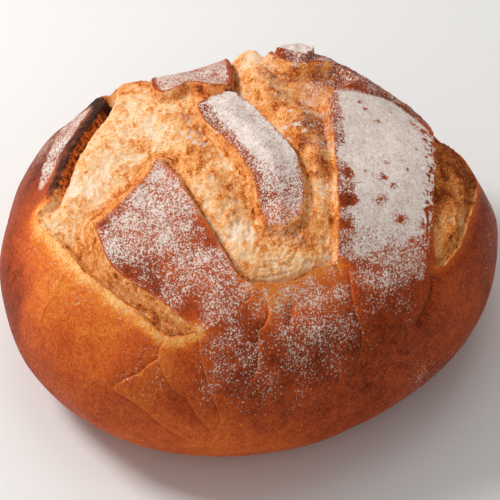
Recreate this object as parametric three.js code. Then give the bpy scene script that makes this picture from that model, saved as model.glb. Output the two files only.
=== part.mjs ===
// A cob loaf: one large round loaf whose crust was cut crosswise before baking and tore open along
// the cuts.
// Millimetres, +Z up. It stands on z = 0, with the middle of its width and depth over the origin.
// The broad low side of the torn field, with the flap of crust at its left, is towards -Y.
import * as THREE from 'three';
import { ConvexHull } from 'three/addons/math/ConvexHull.js';

// Overall sizes, mm
const domeHeight = 105;
const meanRadius = 114.9;
const widestShare = 0.36; // height of the widest level, as a share of the dome's height
const footShare = 0.7; // radius of the flat foot, as a share of the widest radius
const shoulderPower = 2.28; // 2 is an ellipse, more is a fuller shoulder
const topLean = new THREE.Vector2(2.0, 0.5); // how far the top sits off the middle of the foot
const leanPower = 1.5; // the lean grows faster than the level does
const footFade = 22; // over this width above the foot the relief dies away

// How the plan differs from a circle: each harmonic's cosine and sine part
const planHarmonics = [
  { times: 2, along: 4.6, across: 2.2 },
  { times: 3, along: 2.4, across: 0.4 },
];

// The surface is mapped by walking from the top straight down the outside: [u, v] is how far to the right
// of the top and how far behind it a place lies, measured along the crust.

// The sides of the large torn field, in order round it. Each has the height its crust edge lifts to, the
// width of the torn flank below that edge, and the depth and reach of the gap at the foot of the flank.
// A pair of numbers is the value at the side's start and at its end.
const tornField = [
  { side: 'burntLip', lift: [2.5, 3.5], flank: [1.5, 1.5], gap: [6, 5.5], reach: 4.5,
    line: [[-80, 78], [-72.8, 60], [-74.5, 44], [-82.5, 23], [-87.5, 5], [-92.5, -10]] },
  { side: 'paleRim', lift: [1.2, 0.4], flank: [2.5, 1.4], gap: [0.5, 1.6], reach: 4,
    line: [
      [-92.5, -10], [-102, -12.5], [-99, -21], [-87, -37], [-72, -57], [-55, -74], [-38, -92], [-24, -92],
    ] },
  { side: 'flapLowerEdge', lift: [0.3, 2.4], flank: [7, 13], gap: [0, 0], reach: 4,
    line: [[-24, -92], [-39, -75], [-52, -64], [-62, -52], [-69, -32]] },
  { side: 'flapUpperEdge', lift: [2.4, 3.6], flank: [10, 9], gap: [0, 0.5], reach: 4,
    line: [[-69, -32], [-57, -23], [-47, -12], [-42, -1]] },
  { side: 'flapRightEdge', lift: [3.6, 1.0], flank: [4.5, 1.4], gap: [2, 3], reach: 4,
    line: [
      [-42, -1], [-35, -8.5], [-28, -22], [-20, -38.5], [-12.5, -54.5], [-4.5, -69], [1, -72.5],
    ] },
  { side: 'lowerRim', lift: [1.0, 0.8], flank: [1.4, 1.4], gap: [2.5, 1], reach: 3.5,
    line: [[1, -72.5], [13.5, -73], [24, -70.5], [34, -64], [43, -60]] },
  { side: 'stripLeftEdge', lift: [0.8, 1.6], flank: [2, 4], gap: [0.5, 1], reach: 5,
    line: [[43, -60], [42.8, -38], [40, -13.5], [38, 9], [39, 38], [40, 50]] },
  { side: 'backRim', lift: [0.6, 4.0], flank: [4, 9], gap: [0, 0], reach: 4,
    line: [[40, 50], [50, 62], [56, 71], [46, 79], [33, 78], [22, 76], [14, 83]] },
  { side: 'backRightRim', lift: [4.0, 0.8], flank: [4, 3], gap: [1, 0], reach: 5,
    line: [[14, 83], [11, 92], [13, 106], [8, 124]] },
  { side: 'backTip', lift: [0.6, 0.6], flank: [3, 3], gap: [0, 0], reach: 4,
    line: [[8, 124], [0, 130], [-8, 124]] },
  { side: 'plateRightEdge', lift: [0.6, 2.4], flank: [3, 1.6], gap: [1, 4], reach: 3.5,
    line: [[-8, 124], [-13, 106], [-11, 90], [-9, 72], [-10, 52.5]] },
  { side: 'plateFrontEdge', lift: [2.4, 2.6], flank: [2, 4.5], gap: [0.5, 0.5], reach: 3,
    line: [[-10, 52.5], [-20, 53.5], [-29, 58], [-36, 52.5], [-43, 51]] },
  { side: 'plateLeftEdge', lift: [1.6, 0.4], flank: [2, 3], gap: [2, 1.5], reach: 4,
    line: [[-43, 51], [-48, 65], [-50, 84], [-56, 100]] },
  { side: 'backLeftTip', lift: [0.8, 1.6], flank: [3, 2], gap: [0, 4], reach: 4,
    line: [[-56, 100], [-66, 110], [-76, 103], [-80, 91], [-80, 78]] },
];

// The long island of crust left standing in the torn field, over the top of the dome
const island = [
  { side: 'islandLeftEdge', lift: [1.4, 0.8], flank: [4, 6], gap: [0, 0.5], reach: 4,
    line: [[-25, 36], [-21, 26], [-9, 9], [0, -8], [4, -24], [8, -41]] },
  { side: 'islandFoot', lift: [0, 0], flank: [6, 6], gap: [0, 0], reach: 4,
    line: [[8, -41], [17, -43], [24, -37]] },
  { side: 'islandRightEdge', lift: [0.3, 1.6], flank: [6, 1.6], gap: [0.5, 3], reach: 6,
    line: [[24, -37], [25, -20], [20, 0], [12, 18], [2, 36.5], [-6, 46]] },
  { side: 'islandTop', lift: [1.6, 1.4], flank: [2, 3], gap: [1, 0.5], reach: 4,
    line: [[-6, 46], [-11, 47.3], [-17, 43.5], [-24, 38.5], [-25, 36]] },
];

// The narrow leaf-shaped opening at the right of the uncut strip
const sideOpening = [
  { side: 'stripRightEdge', lift: [0.4, 1.6], flank: [3, 2], gap: [0, 2.5], reach: 7,
    line: [[91, -47], [86.3, -33.5], [84.2, -14], [83.8, 3], [85, 20], [88, 38], [92, 56], [98, 72]] },
  { side: 'outerRim', lift: [0.8, 0.3], flank: [2, 2], gap: [2.5, 0.5], reach: 4,
    line: [[98, 72], [110, 54], [117, 33], [112, 11], [106, -11], [102, -29], [96, -43], [91, -47]] },
];

const openingFloor = -3; // level the torn crumb sinks to where nothing swells it
const islandSwell = 3.2; // the island is rounded like a pillow
const islandSwellReach = 13;
const liftReach = 24; // how far behind an edge the lifted crust comes back to the dome
const liftBlend = 4; // where several edges lift the crust, the highest one wins softly

// Where the crumb swelled up through the openings
const crumbMounds = [
  { height: 4.6, width: 15, line: [[-92, -22], [-82, 0], [-68, 30], [-62, 62], [-66, 92]] },
  { height: 3.2, width: 11, line: [[-54, 34], [-38, 30], [-26, 10]] },
  { height: 2.6, width: 9, line: [[-24, -6], [-12, -28], [-2, -52]] },
  { height: 4.6, width: 9, line: [[2, 106], [4, 82], [7, 60], [20, 34], [30, 4]] },
  { height: 2.2, width: 8, line: [[31, -6], [34, -30]] },
  { height: 2.0, width: 12, line: [[8, -58], [30, -58]] },
  { height: 3.0, width: 11, line: [[97, -30], [100, 0], [105, 40]] },
];

// Rounded lumps of the crumb
const crumbLumps = [
  { at: [-70, 12], radius: 9, height: 0.9 },
  { at: [-58, 44], radius: 10, height: 0.8 },
  { at: [-84, -14], radius: 8, height: 0.7 },
  { at: [-40, 46], radius: 8, height: 0.8 },
  { at: [-17, -14], radius: 7, height: 1.0 },
  { at: [-9, -27], radius: 5, height: 0.9 },
  { at: [5, 73], radius: 7, height: 1.2 },
  { at: [12, 52], radius: 8, height: 0.9 },
  { at: [33, 26], radius: 6, height: -0.9 },
  { at: [26, 33], radius: 6, height: 0.8 },
  { at: [37, -54], radius: 5, height: 0.8 },
  { at: [100, -22], radius: 8, height: 0.7 },
];

// Fine breaks of the closed crust: the crust beside the line steps down by depth over the given width
const creases = [
  { depth: 2.2, width: 2.2, line: [[91, -51], [92.5, -61], [91.5, -70], [89, -80]] },
  { depth: 1.0, width: 1.6, line: [[-38, -93], [-41, -101], [-55, -107], [-66, -110]] },
  { depth: 0.9, width: 1.6, line: [[-66, -111], [-60, -119], [-48, -136], [-36, -149]] },
  { depth: 0.7, width: 1.6, line: [[-24, -94], [-22, -106], [-19, -120], [-15, -132], [-18, -143]] },
  { depth: 0.8, width: 1.6, line: [[11, -79], [10, -90], [5, -98], [6.5, -110], [2, -117]] },
  { depth: 0.8, width: 1.6, line: [[48, -62], [52.5, -80], [58, -91], [60, -106]] },
  { depth: -0.8, width: 2.0, line: [[-85, -50], [-92, -60], [-102, -69]] },
];

// Shallow hollows of the closed crust
const dents = [
  { at: [-68, -92], radius: 10, height: -1.4 },
  { at: [20, -88], radius: 6, height: -1.3 },
  { at: [97, -86], radius: 10, height: -1.2 },
];

// Broad swellings and hollows by which the risen loaf differs from a regular dome
const swells = [
  { at: [42, 100], radius: 30, height: 6.6 },
  { at: [27, 98], radius: 9, height: 1.6 },
  { at: [15, 107], radius: 7, height: -2.5 },
  { at: [-3, 107], radius: 10, height: 3.8 },
  { at: [-46, 98], radius: 16, height: -3.8 },
  { at: [106, 61], radius: 16, height: -5.6 },
  { at: [118, 38], radius: 12, height: -1.5 },
  { at: [134, 12], radius: 12, height: 1.2 },
  { at: [-104, 58], radius: 14, height: 1.2 },
  { at: [-128, 33], radius: 24, height: 2.2 },
  { at: [-141, -25], radius: 28, height: 2.3 },
  { at: [-128, -89], radius: 28, height: 1.7 },
  { at: [-83, -143], radius: 28, height: 1.0 },
  { at: [57, -158], radius: 28, height: 1.5 },
  { at: [113, -113], radius: 28, height: -2.0 },
  { at: [140, -51], radius: 28, height: -1.3 },
];

// A small plate of crust standing proud at the back of the field, and the width of its steep sides
const raisedPlate = {
  height: 3.6,
  sides: 2.2,
  line: [[13, 84], [18, 79.5], [24, 78], [30, 79], [33.5, 85], [34, 94], [28, 103], [17, 103], [13, 84]],
};

// Gentle unevenness all over, as waves along directions of their own
const unevenness = [
  { height: 0.55, length: 61, towards: [0.8, 0.6, 0], start: 0.6 },
  { height: 0.45, length: 47, towards: [-0.6, 0.7, 0.4], start: 2.1 },
  { height: 0.35, length: 33, towards: [0.3, -0.5, 0.81], start: 4.0 },
];

// Coarse roughness of the torn crumb, as shorter waves
const crumbRoughness = [
  { height: 0.35, length: 17, towards: [0.9, -0.3, 0.3], start: 1.0 },
  { height: 0.35, length: 14, towards: [0.2, 0.95, 0.25], start: 2.7 },
  { height: 0.25, length: 11, towards: [0.65, 0.6, -0.45], start: 0.2 },
  { height: 0.25, length: 9, towards: [-0.7, 0.65, 0.3], start: 3.9 },
];

// Spacing of the surface points, mm
const edgeSpacing = 2.8;
const crumbSpacing = 3.1;
const crustSpacing = 5.4;
const spacingGrowth = 0.24; // how fast the spacing widens away from an edge
const footSpacing = 9;
const narrowFlank = 5; // flanks narrower than this hold only the rows of places beside their edge
const triedPlaces = 60000; // places tried while the surface is filled with points

// Shares of the edge spacing: how near places may come to each other in the rows beside an edge, how far
// behind the edge the row on the crust lies, and how near the filling places may come to an edge
const crestClearance = 0.6;
const rowClearance = 0.75;
const narrowRowClearance = 0.42;
const crustRowOffset = 0.85;
const fillClearance = 0.9;

const creaseRowOffset = 1.5; // rows beside a crease, as a share of its width
const footClearance = 0.7; // filling places keep this share of the crust's spacing off the foot
const innerFootEvery = 4; // every so many places of the foot there is one further in, under the loaf
const innerFootShare = 0.55;
const middleLevel = 0.42; // level of the loaf's middle, as a share of the dome's height
const profileSteps = 400;

const smooth = (x) => {
  const t = THREE.MathUtils.clamp(x, 0, 1);
  return t * t * (3 - 2 * t);
};

// Height profile of the dome from its top down to the foot, by distance walked along it
function profileTable(steps) {
  const upper = Array.from({ length: steps + 1 }, (_, i) => {
    const angle = (i / steps) * (Math.PI / 2);
    return {
      radius: Math.sin(angle) ** (2 / shoulderPower),
      level: widestShare + (1 - widestShare) * Math.cos(angle) ** (2 / shoulderPower),
    };
  });
  const lower = Array.from({ length: steps }, (_, i) => {
    const angle = ((i + 1) / steps) * (Math.PI / 2);
    return {
      radius: footShare + (1 - footShare) * Math.cos(angle),
      level: widestShare - widestShare * Math.sin(angle),
    };
  });
  const table = [...upper, ...lower];
  table[0].walked = 0;
  for (let i = 1; i < table.length; i++) {
    const across = (table[i].radius - table[i - 1].radius) * meanRadius;
    const down = (table[i].level - table[i - 1].level) * domeHeight;
    table[i].walked = table[i - 1].walked + Math.hypot(across, down);
  }
  return table;
}

const profile = profileTable(profileSteps);
const walkToFoot = profile[profile.length - 1].walked;

function profileAt(walked) {
  let low = 0;
  let high = profile.length - 1;
  while (high - low > 1) {
    const middle = (low + high) >> 1;
    if (profile[middle].walked <= walked) low = middle;
    else high = middle;
  }
  const a = profile[low];
  const b = profile[high];
  const share = THREE.MathUtils.clamp((walked - a.walked) / (b.walked - a.walked), 0, 1);
  return {
    radius: THREE.MathUtils.lerp(a.radius, b.radius, share),
    level: THREE.MathUtils.lerp(a.level, b.level, share),
  };
}

function planRadius(angle) {
  return planHarmonics.reduce((sum, { times, along, across }) => {
    return sum + along * Math.cos(times * angle) + across * Math.sin(times * angle);
  }, meanRadius);
}

// The smooth dome at map place (u, v)
function domePoint(u, v) {
  const angle = Math.atan2(v, u);
  const { radius, level } = profileAt(Math.hypot(u, v));
  const out = radius * planRadius(angle);
  const lean = level ** leanPower;
  return new THREE.Vector3(
    out * Math.cos(angle) + topLean.x * lean,
    out * Math.sin(angle) + topLean.y * lean,
    level * domeHeight,
  );
}

function domeNormal(u, v) {
  const step = 0.5;
  const alongU = domePoint(u + step, v).sub(domePoint(u - step, v));
  const alongV = domePoint(u, v + step).sub(domePoint(u, v - step));
  return alongU.cross(alongV).normalize();
}

// A smooth line through map places, as evenly spaced points
function smoothLine(places, spacing) {
  const curve = new THREE.SplineCurve(places.map(([u, v]) => new THREE.Vector2(u, v)));
  return curve.getSpacedPoints(Math.max(2, Math.round(curve.getLength() / spacing)));
}

// How far (u, v) is from a line, and how far along the line the nearest place is, 0 to 1
function nearestOn(line, u, v) {
  let distance = Infinity;
  let along = 0;
  for (let i = 0; i + 1 < line.length; i++) {
    const a = line[i];
    const b = line[i + 1];
    const du = b.x - a.x;
    const dv = b.y - a.y;
    const share = THREE.MathUtils.clamp(((u - a.x) * du + (v - a.y) * dv) / (du * du + dv * dv), 0, 1);
    const gone = Math.hypot(u - a.x - share * du, v - a.y - share * dv);
    if (gone < distance) {
      distance = gone;
      along = (i + share) / (line.length - 1);
    }
  }
  return { distance, along };
}

function isInside(outline, u, v) {
  let inside = false;
  for (let i = 0, j = outline.length - 1; i < outline.length; j = i++) {
    const a = outline[i];
    const b = outline[j];
    const crossed = a.y > v !== b.y > v;
    if (crossed && u < ((b.x - a.x) * (v - a.y)) / (b.y - a.y) + a.x) inside = !inside;
  }
  return inside;
}

const lineSpacing = 2.2;
const withCurves = (parts) =>
  parts.map((part) => ({ ...part, curve: smoothLine(part.line, lineSpacing) }));
const outlineOf = (sides) => sides.flatMap((side) => side.curve.slice(0, -1));

const tornSides = withCurves(tornField);
const islandSides = withCurves(island);
const openingSides = withCurves(sideOpening);
const allSides = [...tornSides, ...islandSides, ...openingSides];
const moundLines = withCurves(crumbMounds);
const creaseLines = withCurves(creases);
const tornOutline = outlineOf(tornSides);
const islandOutline = outlineOf(islandSides);
const plateOutline = smoothLine(raisedPlate.line, lineSpacing);
const openingOutline = outlineOf(openingSides);

const onIsland = (u, v) => isInside(islandOutline, u, v);
const isTorn = (u, v) =>
  (isInside(tornOutline, u, v) && !onIsland(u, v)) || isInside(openingOutline, u, v);

const bump = (distance, reach) => Math.exp(-((distance / reach) ** 2));
const spots = (list, u, v) =>
  list.reduce((sum, { at, radius, height }) => {
    return sum + height * bump(Math.hypot(u - at[0], v - at[1]), radius);
  }, 0);

// Every side seen from (u, v), with its own values at the nearest place
function sidesFrom(u, v) {
  return allSides.map((side) => {
    const { distance, along } = nearestOn(side.curve, u, v);
    const at = ([start, end]) => THREE.MathUtils.lerp(start, end, along);
    return { distance, lift: at(side.lift), flank: at(side.flank), gap: at(side.gap), reach: side.reach };
  });
}

function crustHeight(sides, u, v) {
  const lifted = sides.reduce(
    (sum, side) => sum + (side.lift * Math.max(0, 1 - side.distance / liftReach) ** 2) ** liftBlend,
    0,
  );
  const islandEdge = Math.min(...islandSides.map((side) => nearestOn(side.curve, u, v).distance));
  const swell = onIsland(u, v) ? islandSwell * smooth(islandEdge / islandSwellReach) : 0;
  return lifted ** (1 / liftBlend) + swell;
}

function plateHeight(u, v) {
  if (!isInside(plateOutline, u, v)) return 0;
  return raisedPlate.height * smooth(nearestOn(plateOutline, u, v).distance / raisedPlate.sides);
}

function creaseHeight(u, v) {
  return creaseLines.reduce((sum, crease) => {
    const { distance } = nearestOn(crease.curve, u, v);
    return sum - crease.depth * bump(distance, crease.width);
  }, 0);
}

function crumbHeight(sides, u, v) {
  const mounds = moundLines.reduce(
    (sum, mound) => sum + (mound.height * bump(nearestOn(mound.curve, u, v).distance, mound.width)) ** 2,
    0,
  );
  const gap = Math.max(...sides.map((side) => side.gap * bump(side.distance, side.reach)));
  return openingFloor + Math.sqrt(mounds) + spots(crumbLumps, u, v) - gap;
}

function wavesAt(waves, point) {
  return waves.reduce((sum, wave) => {
    const [x, y, z] = wave.towards;
    const phase = ((point.x * x + point.y * y + point.z * z) * 2 * Math.PI) / wave.length;
    return sum + wave.height * Math.sin(phase + wave.start);
  }, 0);
}

// How far the surface at (u, v) stands off the smooth dome
function relief(u, v, point) {
  const sides = sidesFrom(u, v);
  const crust = crustHeight(sides, u, v);
  if (!isTorn(u, v)) return crust + creaseHeight(u, v) + plateHeight(u, v) + spots(dents, u, v);
  const crumb = crumbHeight(sides, u, v) + wavesAt(crumbRoughness, point);
  const flank = Math.max(...sides.map((side) => 1 - smooth(side.distance / side.flank)));
  return crumb + (crust - crumb) * flank;
}

// The finished surface at (u, v). The relief dies away towards the foot, which stays flat.
function loafPoint(u, v) {
  const point = domePoint(u, v);
  const walked = Math.hypot(u, v);
  const clearOfFoot = smooth((walkToFoot - walked) / footFade);
  const height = (relief(u, v, point) + spots(swells, u, v) + wavesAt(unevenness, point)) * clearOfFoot;
  return point.addScaledVector(domeNormal(u, v), height);
}

// Collects places no nearer to each other than the spacing asked for
class PlaceSet {
  constructor(cell) {
    this.cell = cell;
    this.cells = new Map();
    this.places = [];
  }

  key(x, y, z) {
    return `${Math.floor(x / this.cell)},${Math.floor(y / this.cell)},${Math.floor(z / this.cell)}`;
  }

  isFree(point, spacing) {
    const reach = [-this.cell, 0, this.cell];
    return reach.every((x) =>
      reach.every((y) =>
        reach.every((z) =>
          (this.cells.get(this.key(point.x + x, point.y + y, point.z + z)) ?? []).every(
            (other) => other.distanceTo(point) >= spacing,
          ),
        ),
      ),
    );
  }

  add(rough, final) {
    const key = this.key(rough.x, rough.y, rough.z);
    if (!this.cells.has(key)) this.cells.set(key, []);
    this.cells.get(key).push(rough);
    this.places.push({ rough, final });
  }

  tryPlace(u, v, spacing) {
    const rough = domePoint(u, v);
    if (this.isFree(rough, spacing)) this.add(rough, loafPoint(u, v));
  }
}

// The places beside a line, at a distance that may change along it, on both its sides
function besideLine(curve, distanceAt) {
  return curve.flatMap((place, i) => {
    const ahead = curve[Math.min(i + 1, curve.length - 1)];
    const behind = curve[Math.max(i - 1, 0)];
    const across = new THREE.Vector2(behind.y - ahead.y, ahead.x - behind.x).normalize();
    const off = distanceAt(i / (curve.length - 1));
    return [place.clone().addScaledVector(across, off), place.clone().addScaledVector(across, -off)];
  });
}

// Rows of places along every edge: on the edge, behind it on the crust and down its torn flank
function placeEdges(set) {
  const crests = allSides.map((side) => smoothLine(side.line, edgeSpacing));
  for (const place of crests.flat()) set.tryPlace(place.x, place.y, edgeSpacing * crestClearance);
  allSides.forEach((side, i) => {
    const flankAt = (along) => THREE.MathUtils.lerp(side.flank[0], side.flank[1], along);
    const rows = Math.max(1, Math.round(flankAt(0.5) / edgeSpacing));
    const clearance = rows > 1 ? rowClearance : narrowRowClearance;
    for (let row = 1; row <= rows; row++) {
      for (const foot of besideLine(crests[i], (along) => (flankAt(along) * row) / rows)) {
        if (isTorn(foot.x, foot.y)) set.tryPlace(foot.x, foot.y, edgeSpacing * clearance);
      }
    }
    for (const place of besideLine(crests[i], () => edgeSpacing * crustRowOffset)) {
      if (!isTorn(place.x, place.y)) set.tryPlace(place.x, place.y, edgeSpacing * rowClearance);
    }
  });
}

function placeCreases(set) {
  for (const crease of creaseLines) {
    const middle = smoothLine(crease.line, edgeSpacing);
    for (const place of [...middle, ...besideLine(middle, () => crease.width * creaseRowOffset)]) {
      if (!isTorn(place.x, place.y)) set.tryPlace(place.x, place.y, edgeSpacing * crestClearance);
    }
  }
}

function placeRaisedPlate(set) {
  const rows = [plateOutline, besideLine(plateOutline, () => raisedPlate.sides)].flat();
  for (const place of rows) {
    if (!isTorn(place.x, place.y)) set.tryPlace(place.x, place.y, raisedPlate.sides * rowClearance);
  }
}

function placeFoot(set) {
  const around = Math.round((2 * Math.PI * meanRadius * footShare) / footSpacing);
  for (let i = 0; i < around; i++) {
    const angle = (i / around) * 2 * Math.PI;
    const rim = domePoint(walkToFoot * Math.cos(angle), walkToFoot * Math.sin(angle));
    rim.z = 0;
    set.add(rim, rim.clone());
    if (i % innerFootEvery === 0) {
      const inner = rim.clone().multiplyScalar(innerFootShare);
      set.add(inner, inner.clone());
    }
  }
}

// How far the filling places at (u, v) keep from each other. It is infinite where the rows beside an edge
// suffice.
function spacingAt(u, v) {
  const torn = isTorn(u, v);
  const sides = sidesFrom(u, v);
  const rowReach = edgeSpacing * crestClearance;
  const onRows = (side) => side.flank < narrowFlank && side.distance < side.flank + rowReach;
  if (torn && sides.some(onRows)) return Infinity;
  const distance = Math.min(
    ...sides.map((side) => side.distance),
    ...creaseLines.map((crease) => nearestOn(crease.curve, u, v).distance + edgeSpacing),
  );
  const graded = edgeSpacing * fillClearance + distance * spacingGrowth;
  return Math.min(torn ? crumbSpacing : crustSpacing, graded);
}

// Fills the rest along a spiral from the top, whose turns keep an even distance from each other
function placeFill(set) {
  const goldenAngle = Math.PI * (3 - Math.sqrt(5));
  const areas = [0];
  for (let i = 1; i < profile.length; i++) {
    const width = profile[i].radius + profile[i - 1].radius;
    areas.push(areas[i - 1] + (profile[i].walked - profile[i - 1].walked) * width);
  }
  let row = 0;
  for (let i = 0; i < triedPlaces; i++) {
    const area = ((i + 0.5) / triedPlaces) * areas[areas.length - 1];
    while (areas[row + 1] < area) row += 1;
    const share = (area - areas[row]) / (areas[row + 1] - areas[row]);
    const walked = THREE.MathUtils.lerp(profile[row].walked, profile[row + 1].walked, share);
    if (walkToFoot - walked < crustSpacing * footClearance) continue;
    const u = walked * Math.cos(i * goldenAngle);
    const v = walked * Math.sin(i * goldenAngle);
    set.tryPlace(u, v, spacingAt(u, v));
  }
}

// Joins neighbouring places into triangles, as they are seen from the middle of the loaf
function joinPlaces(places) {
  const middle = new THREE.Vector3(0, 0, domeHeight * middleLevel);
  const seen = places.map(({ rough }) => rough.clone().sub(middle).setLength(meanRadius));
  const order = new Map(seen.map((direction, i) => [direction, i]));
  const hull = new ConvexHull().setFromPoints(seen);
  const index = [];
  for (const face of hull.faces) {
    let edge = face.edge;
    do {
      index.push(order.get(edge.head().point));
      edge = edge.next;
    } while (edge !== face.edge);
  }
  return index;
}

function centreOnBox(geometry) {
  geometry.computeBoundingBox();
  const centre = geometry.boundingBox.getCenter(new THREE.Vector3());
  geometry.translate(-centre.x, -centre.y, -geometry.boundingBox.min.z);
  return geometry;
}

function loafGeometry() {
  const set = new PlaceSet(footSpacing);
  placeFoot(set);
  placeEdges(set);
  placeCreases(set);
  placeRaisedPlate(set);
  placeFill(set);
  const geometry = new THREE.BufferGeometry();
  const coordinates = set.places.flatMap(({ final }) => [final.x, final.y, final.z]);
  geometry.setAttribute('position', new THREE.Float32BufferAttribute(coordinates, 3));
  geometry.setIndex(joinPlaces(set.places));
  return centreOnBox(geometry);
}

function bakedCrust() {
  return new THREE.MeshStandardMaterial({ color: 0xb5672f, roughness: 0.62, metalness: 0 });
}

function buildLoaf() {
  const loaf = new THREE.Mesh(loafGeometry(), bakedCrust());
  loaf.name = 'loaf';
  return loaf;
}

const cobLoaf = new THREE.Group();
cobLoaf.name = 'cobLoaf';
cobLoaf.add(buildLoaf());

export default cobLoaf;
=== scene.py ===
import itertools
import math

import bpy
import numpy as np
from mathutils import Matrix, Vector
from mathutils.geometry import delaunay_2d_cdt


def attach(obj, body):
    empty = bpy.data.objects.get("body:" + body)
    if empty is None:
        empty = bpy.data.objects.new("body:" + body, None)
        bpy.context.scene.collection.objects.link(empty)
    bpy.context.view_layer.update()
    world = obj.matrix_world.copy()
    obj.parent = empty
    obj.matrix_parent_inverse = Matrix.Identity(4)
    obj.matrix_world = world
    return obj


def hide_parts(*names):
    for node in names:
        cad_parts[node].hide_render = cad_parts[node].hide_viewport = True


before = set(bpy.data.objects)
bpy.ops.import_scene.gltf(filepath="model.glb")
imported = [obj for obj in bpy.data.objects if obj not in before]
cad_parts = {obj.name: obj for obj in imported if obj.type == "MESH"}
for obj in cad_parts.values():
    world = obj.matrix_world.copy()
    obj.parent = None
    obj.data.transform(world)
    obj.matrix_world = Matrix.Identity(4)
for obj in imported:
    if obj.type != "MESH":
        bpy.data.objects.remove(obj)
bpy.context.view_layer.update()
print("frame loaded")

# Everything about the loaf is worked out in millimetres and turned into metres at the end.
# [u, v] is how far to the right of the top and how far behind it a place lies, walking down the crust.
loafForm = {
    "domeHeight": 105.0,
    "meanRadius": 114.9,
    "widestShare": 0.36,  # height of the widest level
    "footShare": 0.7,  # radius of the flat foot against the widest radius
    "shoulderPower": 2.28,  # 2 is an ellipse, more is a fuller shoulder
    "topLean": (2.0, 0.5),
    "planWaves": [(2, 4.6, 2.2), (3, 2.4, 0.4)],
    "middle": (2.16, -0.192),  # middle of the loaf's width and depth, which goes over the origin
    "openingFloor": -3.0,
    "islandSwell": 3.2,
    "islandSwellReach": 13.0,
    "liftReach": 24.0,  # how far behind an edge the lifted crust comes back to the dome
    "footFade": 22.0,
}

# One edge of the torn crumb. The pairs go from the start of its line to the end: the height the crust lifts
# to, the width of the torn wall below it, and the depth of the gap at the wall's foot. Then how far the gap
# reaches, how far the edge curls over, and how ragged it is.
def edge(name, lift, flank, gap, reach, curl, ragged, line):
    return {"name": name, "lift": lift, "flank": flank, "gap": gap, "reach": reach, "curl": curl,
            "ragged": ragged, "line": line}


# The edges of the large torn field, the crumb at their left
tornField = [
    edge("burntLip", (2.5, 3.5), (2.4, 2.4), (6, 5.5), 4.5, 0.4, 0.5,
         [(-80, 78), (-72.8, 60), (-74.5, 44), (-82.5, 23), (-87.5, 5), (-92.5, -10)]),
    edge("paleRim", (1.2, 0.4), (2.5, 1.4), (0.5, 1.6), 4, 0.0, 0.5,
         [(-92.5, -10), (-102, -12.5), (-99, -21), (-87, -37), (-72, -57), (-55, -74), (-38, -92),
          (-24, -92)]),
    edge("flapLowerEdge", (0.3, 2.4), (7, 13), (0, 0), 4, 0.0, 0.35,
         [(-24, -92), (-39, -75), (-52, -64), (-62, -52), (-69, -32)]),
    edge("flapUpperEdge", (2.4, 3.6), (10, 9), (0, 0.5), 4, 0.0, 0.35,
         [(-69, -32), (-57, -23), (-47, -12), (-42, -1)]),
    edge("flapRightEdge", (3.6, 1.0), (4.5, 1.4), (2, 3), 4, 0.3, 0.35,
         [(-42, -1), (-35, -8.5), (-28, -22), (-20, -38.5), (-12.5, -54.5), (-4.5, -69), (1, -72.5)]),
    edge("lowerRim", (1.0, 0.8), (1.4, 1.4), (2.5, 1), 3.5, 0.4, 0.45,
         [(1, -72.5), (13.5, -73), (24, -70.5), (34, -64), (43, -60)]),
    edge("stripLeftEdge", (0.8, 1.6), (2, 4), (0.5, 1), 5, 0.3, 0.4,
         [(43, -60), (42.8, -38), (40, -13.5), (38, 9), (39, 38), (40, 50)]),
    edge("backRim", (0.6, 4.0), (4, 9), (0, 0), 4, 0.0, 0.5,
         [(40, 50), (50, 62), (56, 71), (46, 79), (33, 78), (22, 76), (14, 83)]),
    edge("backRightRim", (4.0, 0.8), (4, 3), (1, 0), 5, 0.3, 0.5,
         [(14, 83), (11, 92), (13, 106), (8, 124)]),
    edge("backTip", (0.6, 0.6), (3, 3), (0, 0), 4, 0.0, 0.4,
         [(8, 124), (0, 130), (-8, 124)]),
    edge("plateRightEdge", (0.6, 2.4), (3, 1.6), (1, 4), 3.5, 0.6, 0.5,
         [(-8, 124), (-13, 106), (-11, 90), (-9, 72), (-10, 52.5)]),
    edge("plateFrontEdge", (2.4, 2.6), (2, 4.5), (0.5, 0.5), 3, 0.0, 0.5,
         [(-10, 52.5), (-20, 53.5), (-29, 58), (-36, 52.5), (-43, 51)]),
    edge("plateLeftEdge", (1.6, 0.4), (2, 3), (1.4, 1.2), 3, 0.3, 0.5,
         [(-43, 51), (-48, 65), (-50, 84), (-56, 100)]),
    edge("backLeftTip", (0.8, 1.6), (3, 2), (0, 4), 4, 0.3, 0.5,
         [(-56, 100), (-66, 110), (-76, 103), (-80, 91), (-80, 78)]),
]

# The long island of crust left standing over the top
island = [
    edge("islandLeftEdge", (1.4, 0.8), (4, 6), (0, 0.5), 4, 0.0, 0.35,
         [(-25, 36), (-21, 26), (-9, 9), (0, -8), (4, -24), (8, -41)]),
    edge("islandFoot", (0, 0), (6, 6), (0, 0), 4, 0.0, 0.4,
         [(8, -41), (17, -43), (24, -37)]),
    edge("islandRightEdge", (0.3, 1.6), (6, 1.6), (0.5, 3), 6, 0.4, 0.3,
         [(24, -37), (25, -20), (20, 0), (12, 18), (2, 36.5), (-6, 46)]),
    edge("islandTop", (1.6, 1.4), (2, 3), (1, 0.5), 4, 0.2, 0.3,
         [(-6, 46), (-11, 47.3), (-17, 43.5), (-24, 38.5), (-25, 36)]),
]

# The leaf-shaped opening at the right of the uncut strip
sideOpening = [
    edge("stripRightEdge", (0.4, 1.6), (3, 2), (0, 2.5), 7, 0.3, 0.3,
         [(91, -47), (86.3, -33.5), (84.2, -14), (83.8, 3), (85, 20), (88, 38), (92, 56), (98, 72)]),
    edge("outerRim", (0.8, 0.3), (2, 2), (2.5, 0.5), 4, 0.3, 0.3,
         [(98, 72), (110, 54), (117, 33), (112, 11), (106, -11), (102, -29), (96, -43), (91, -47)]),
]

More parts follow.
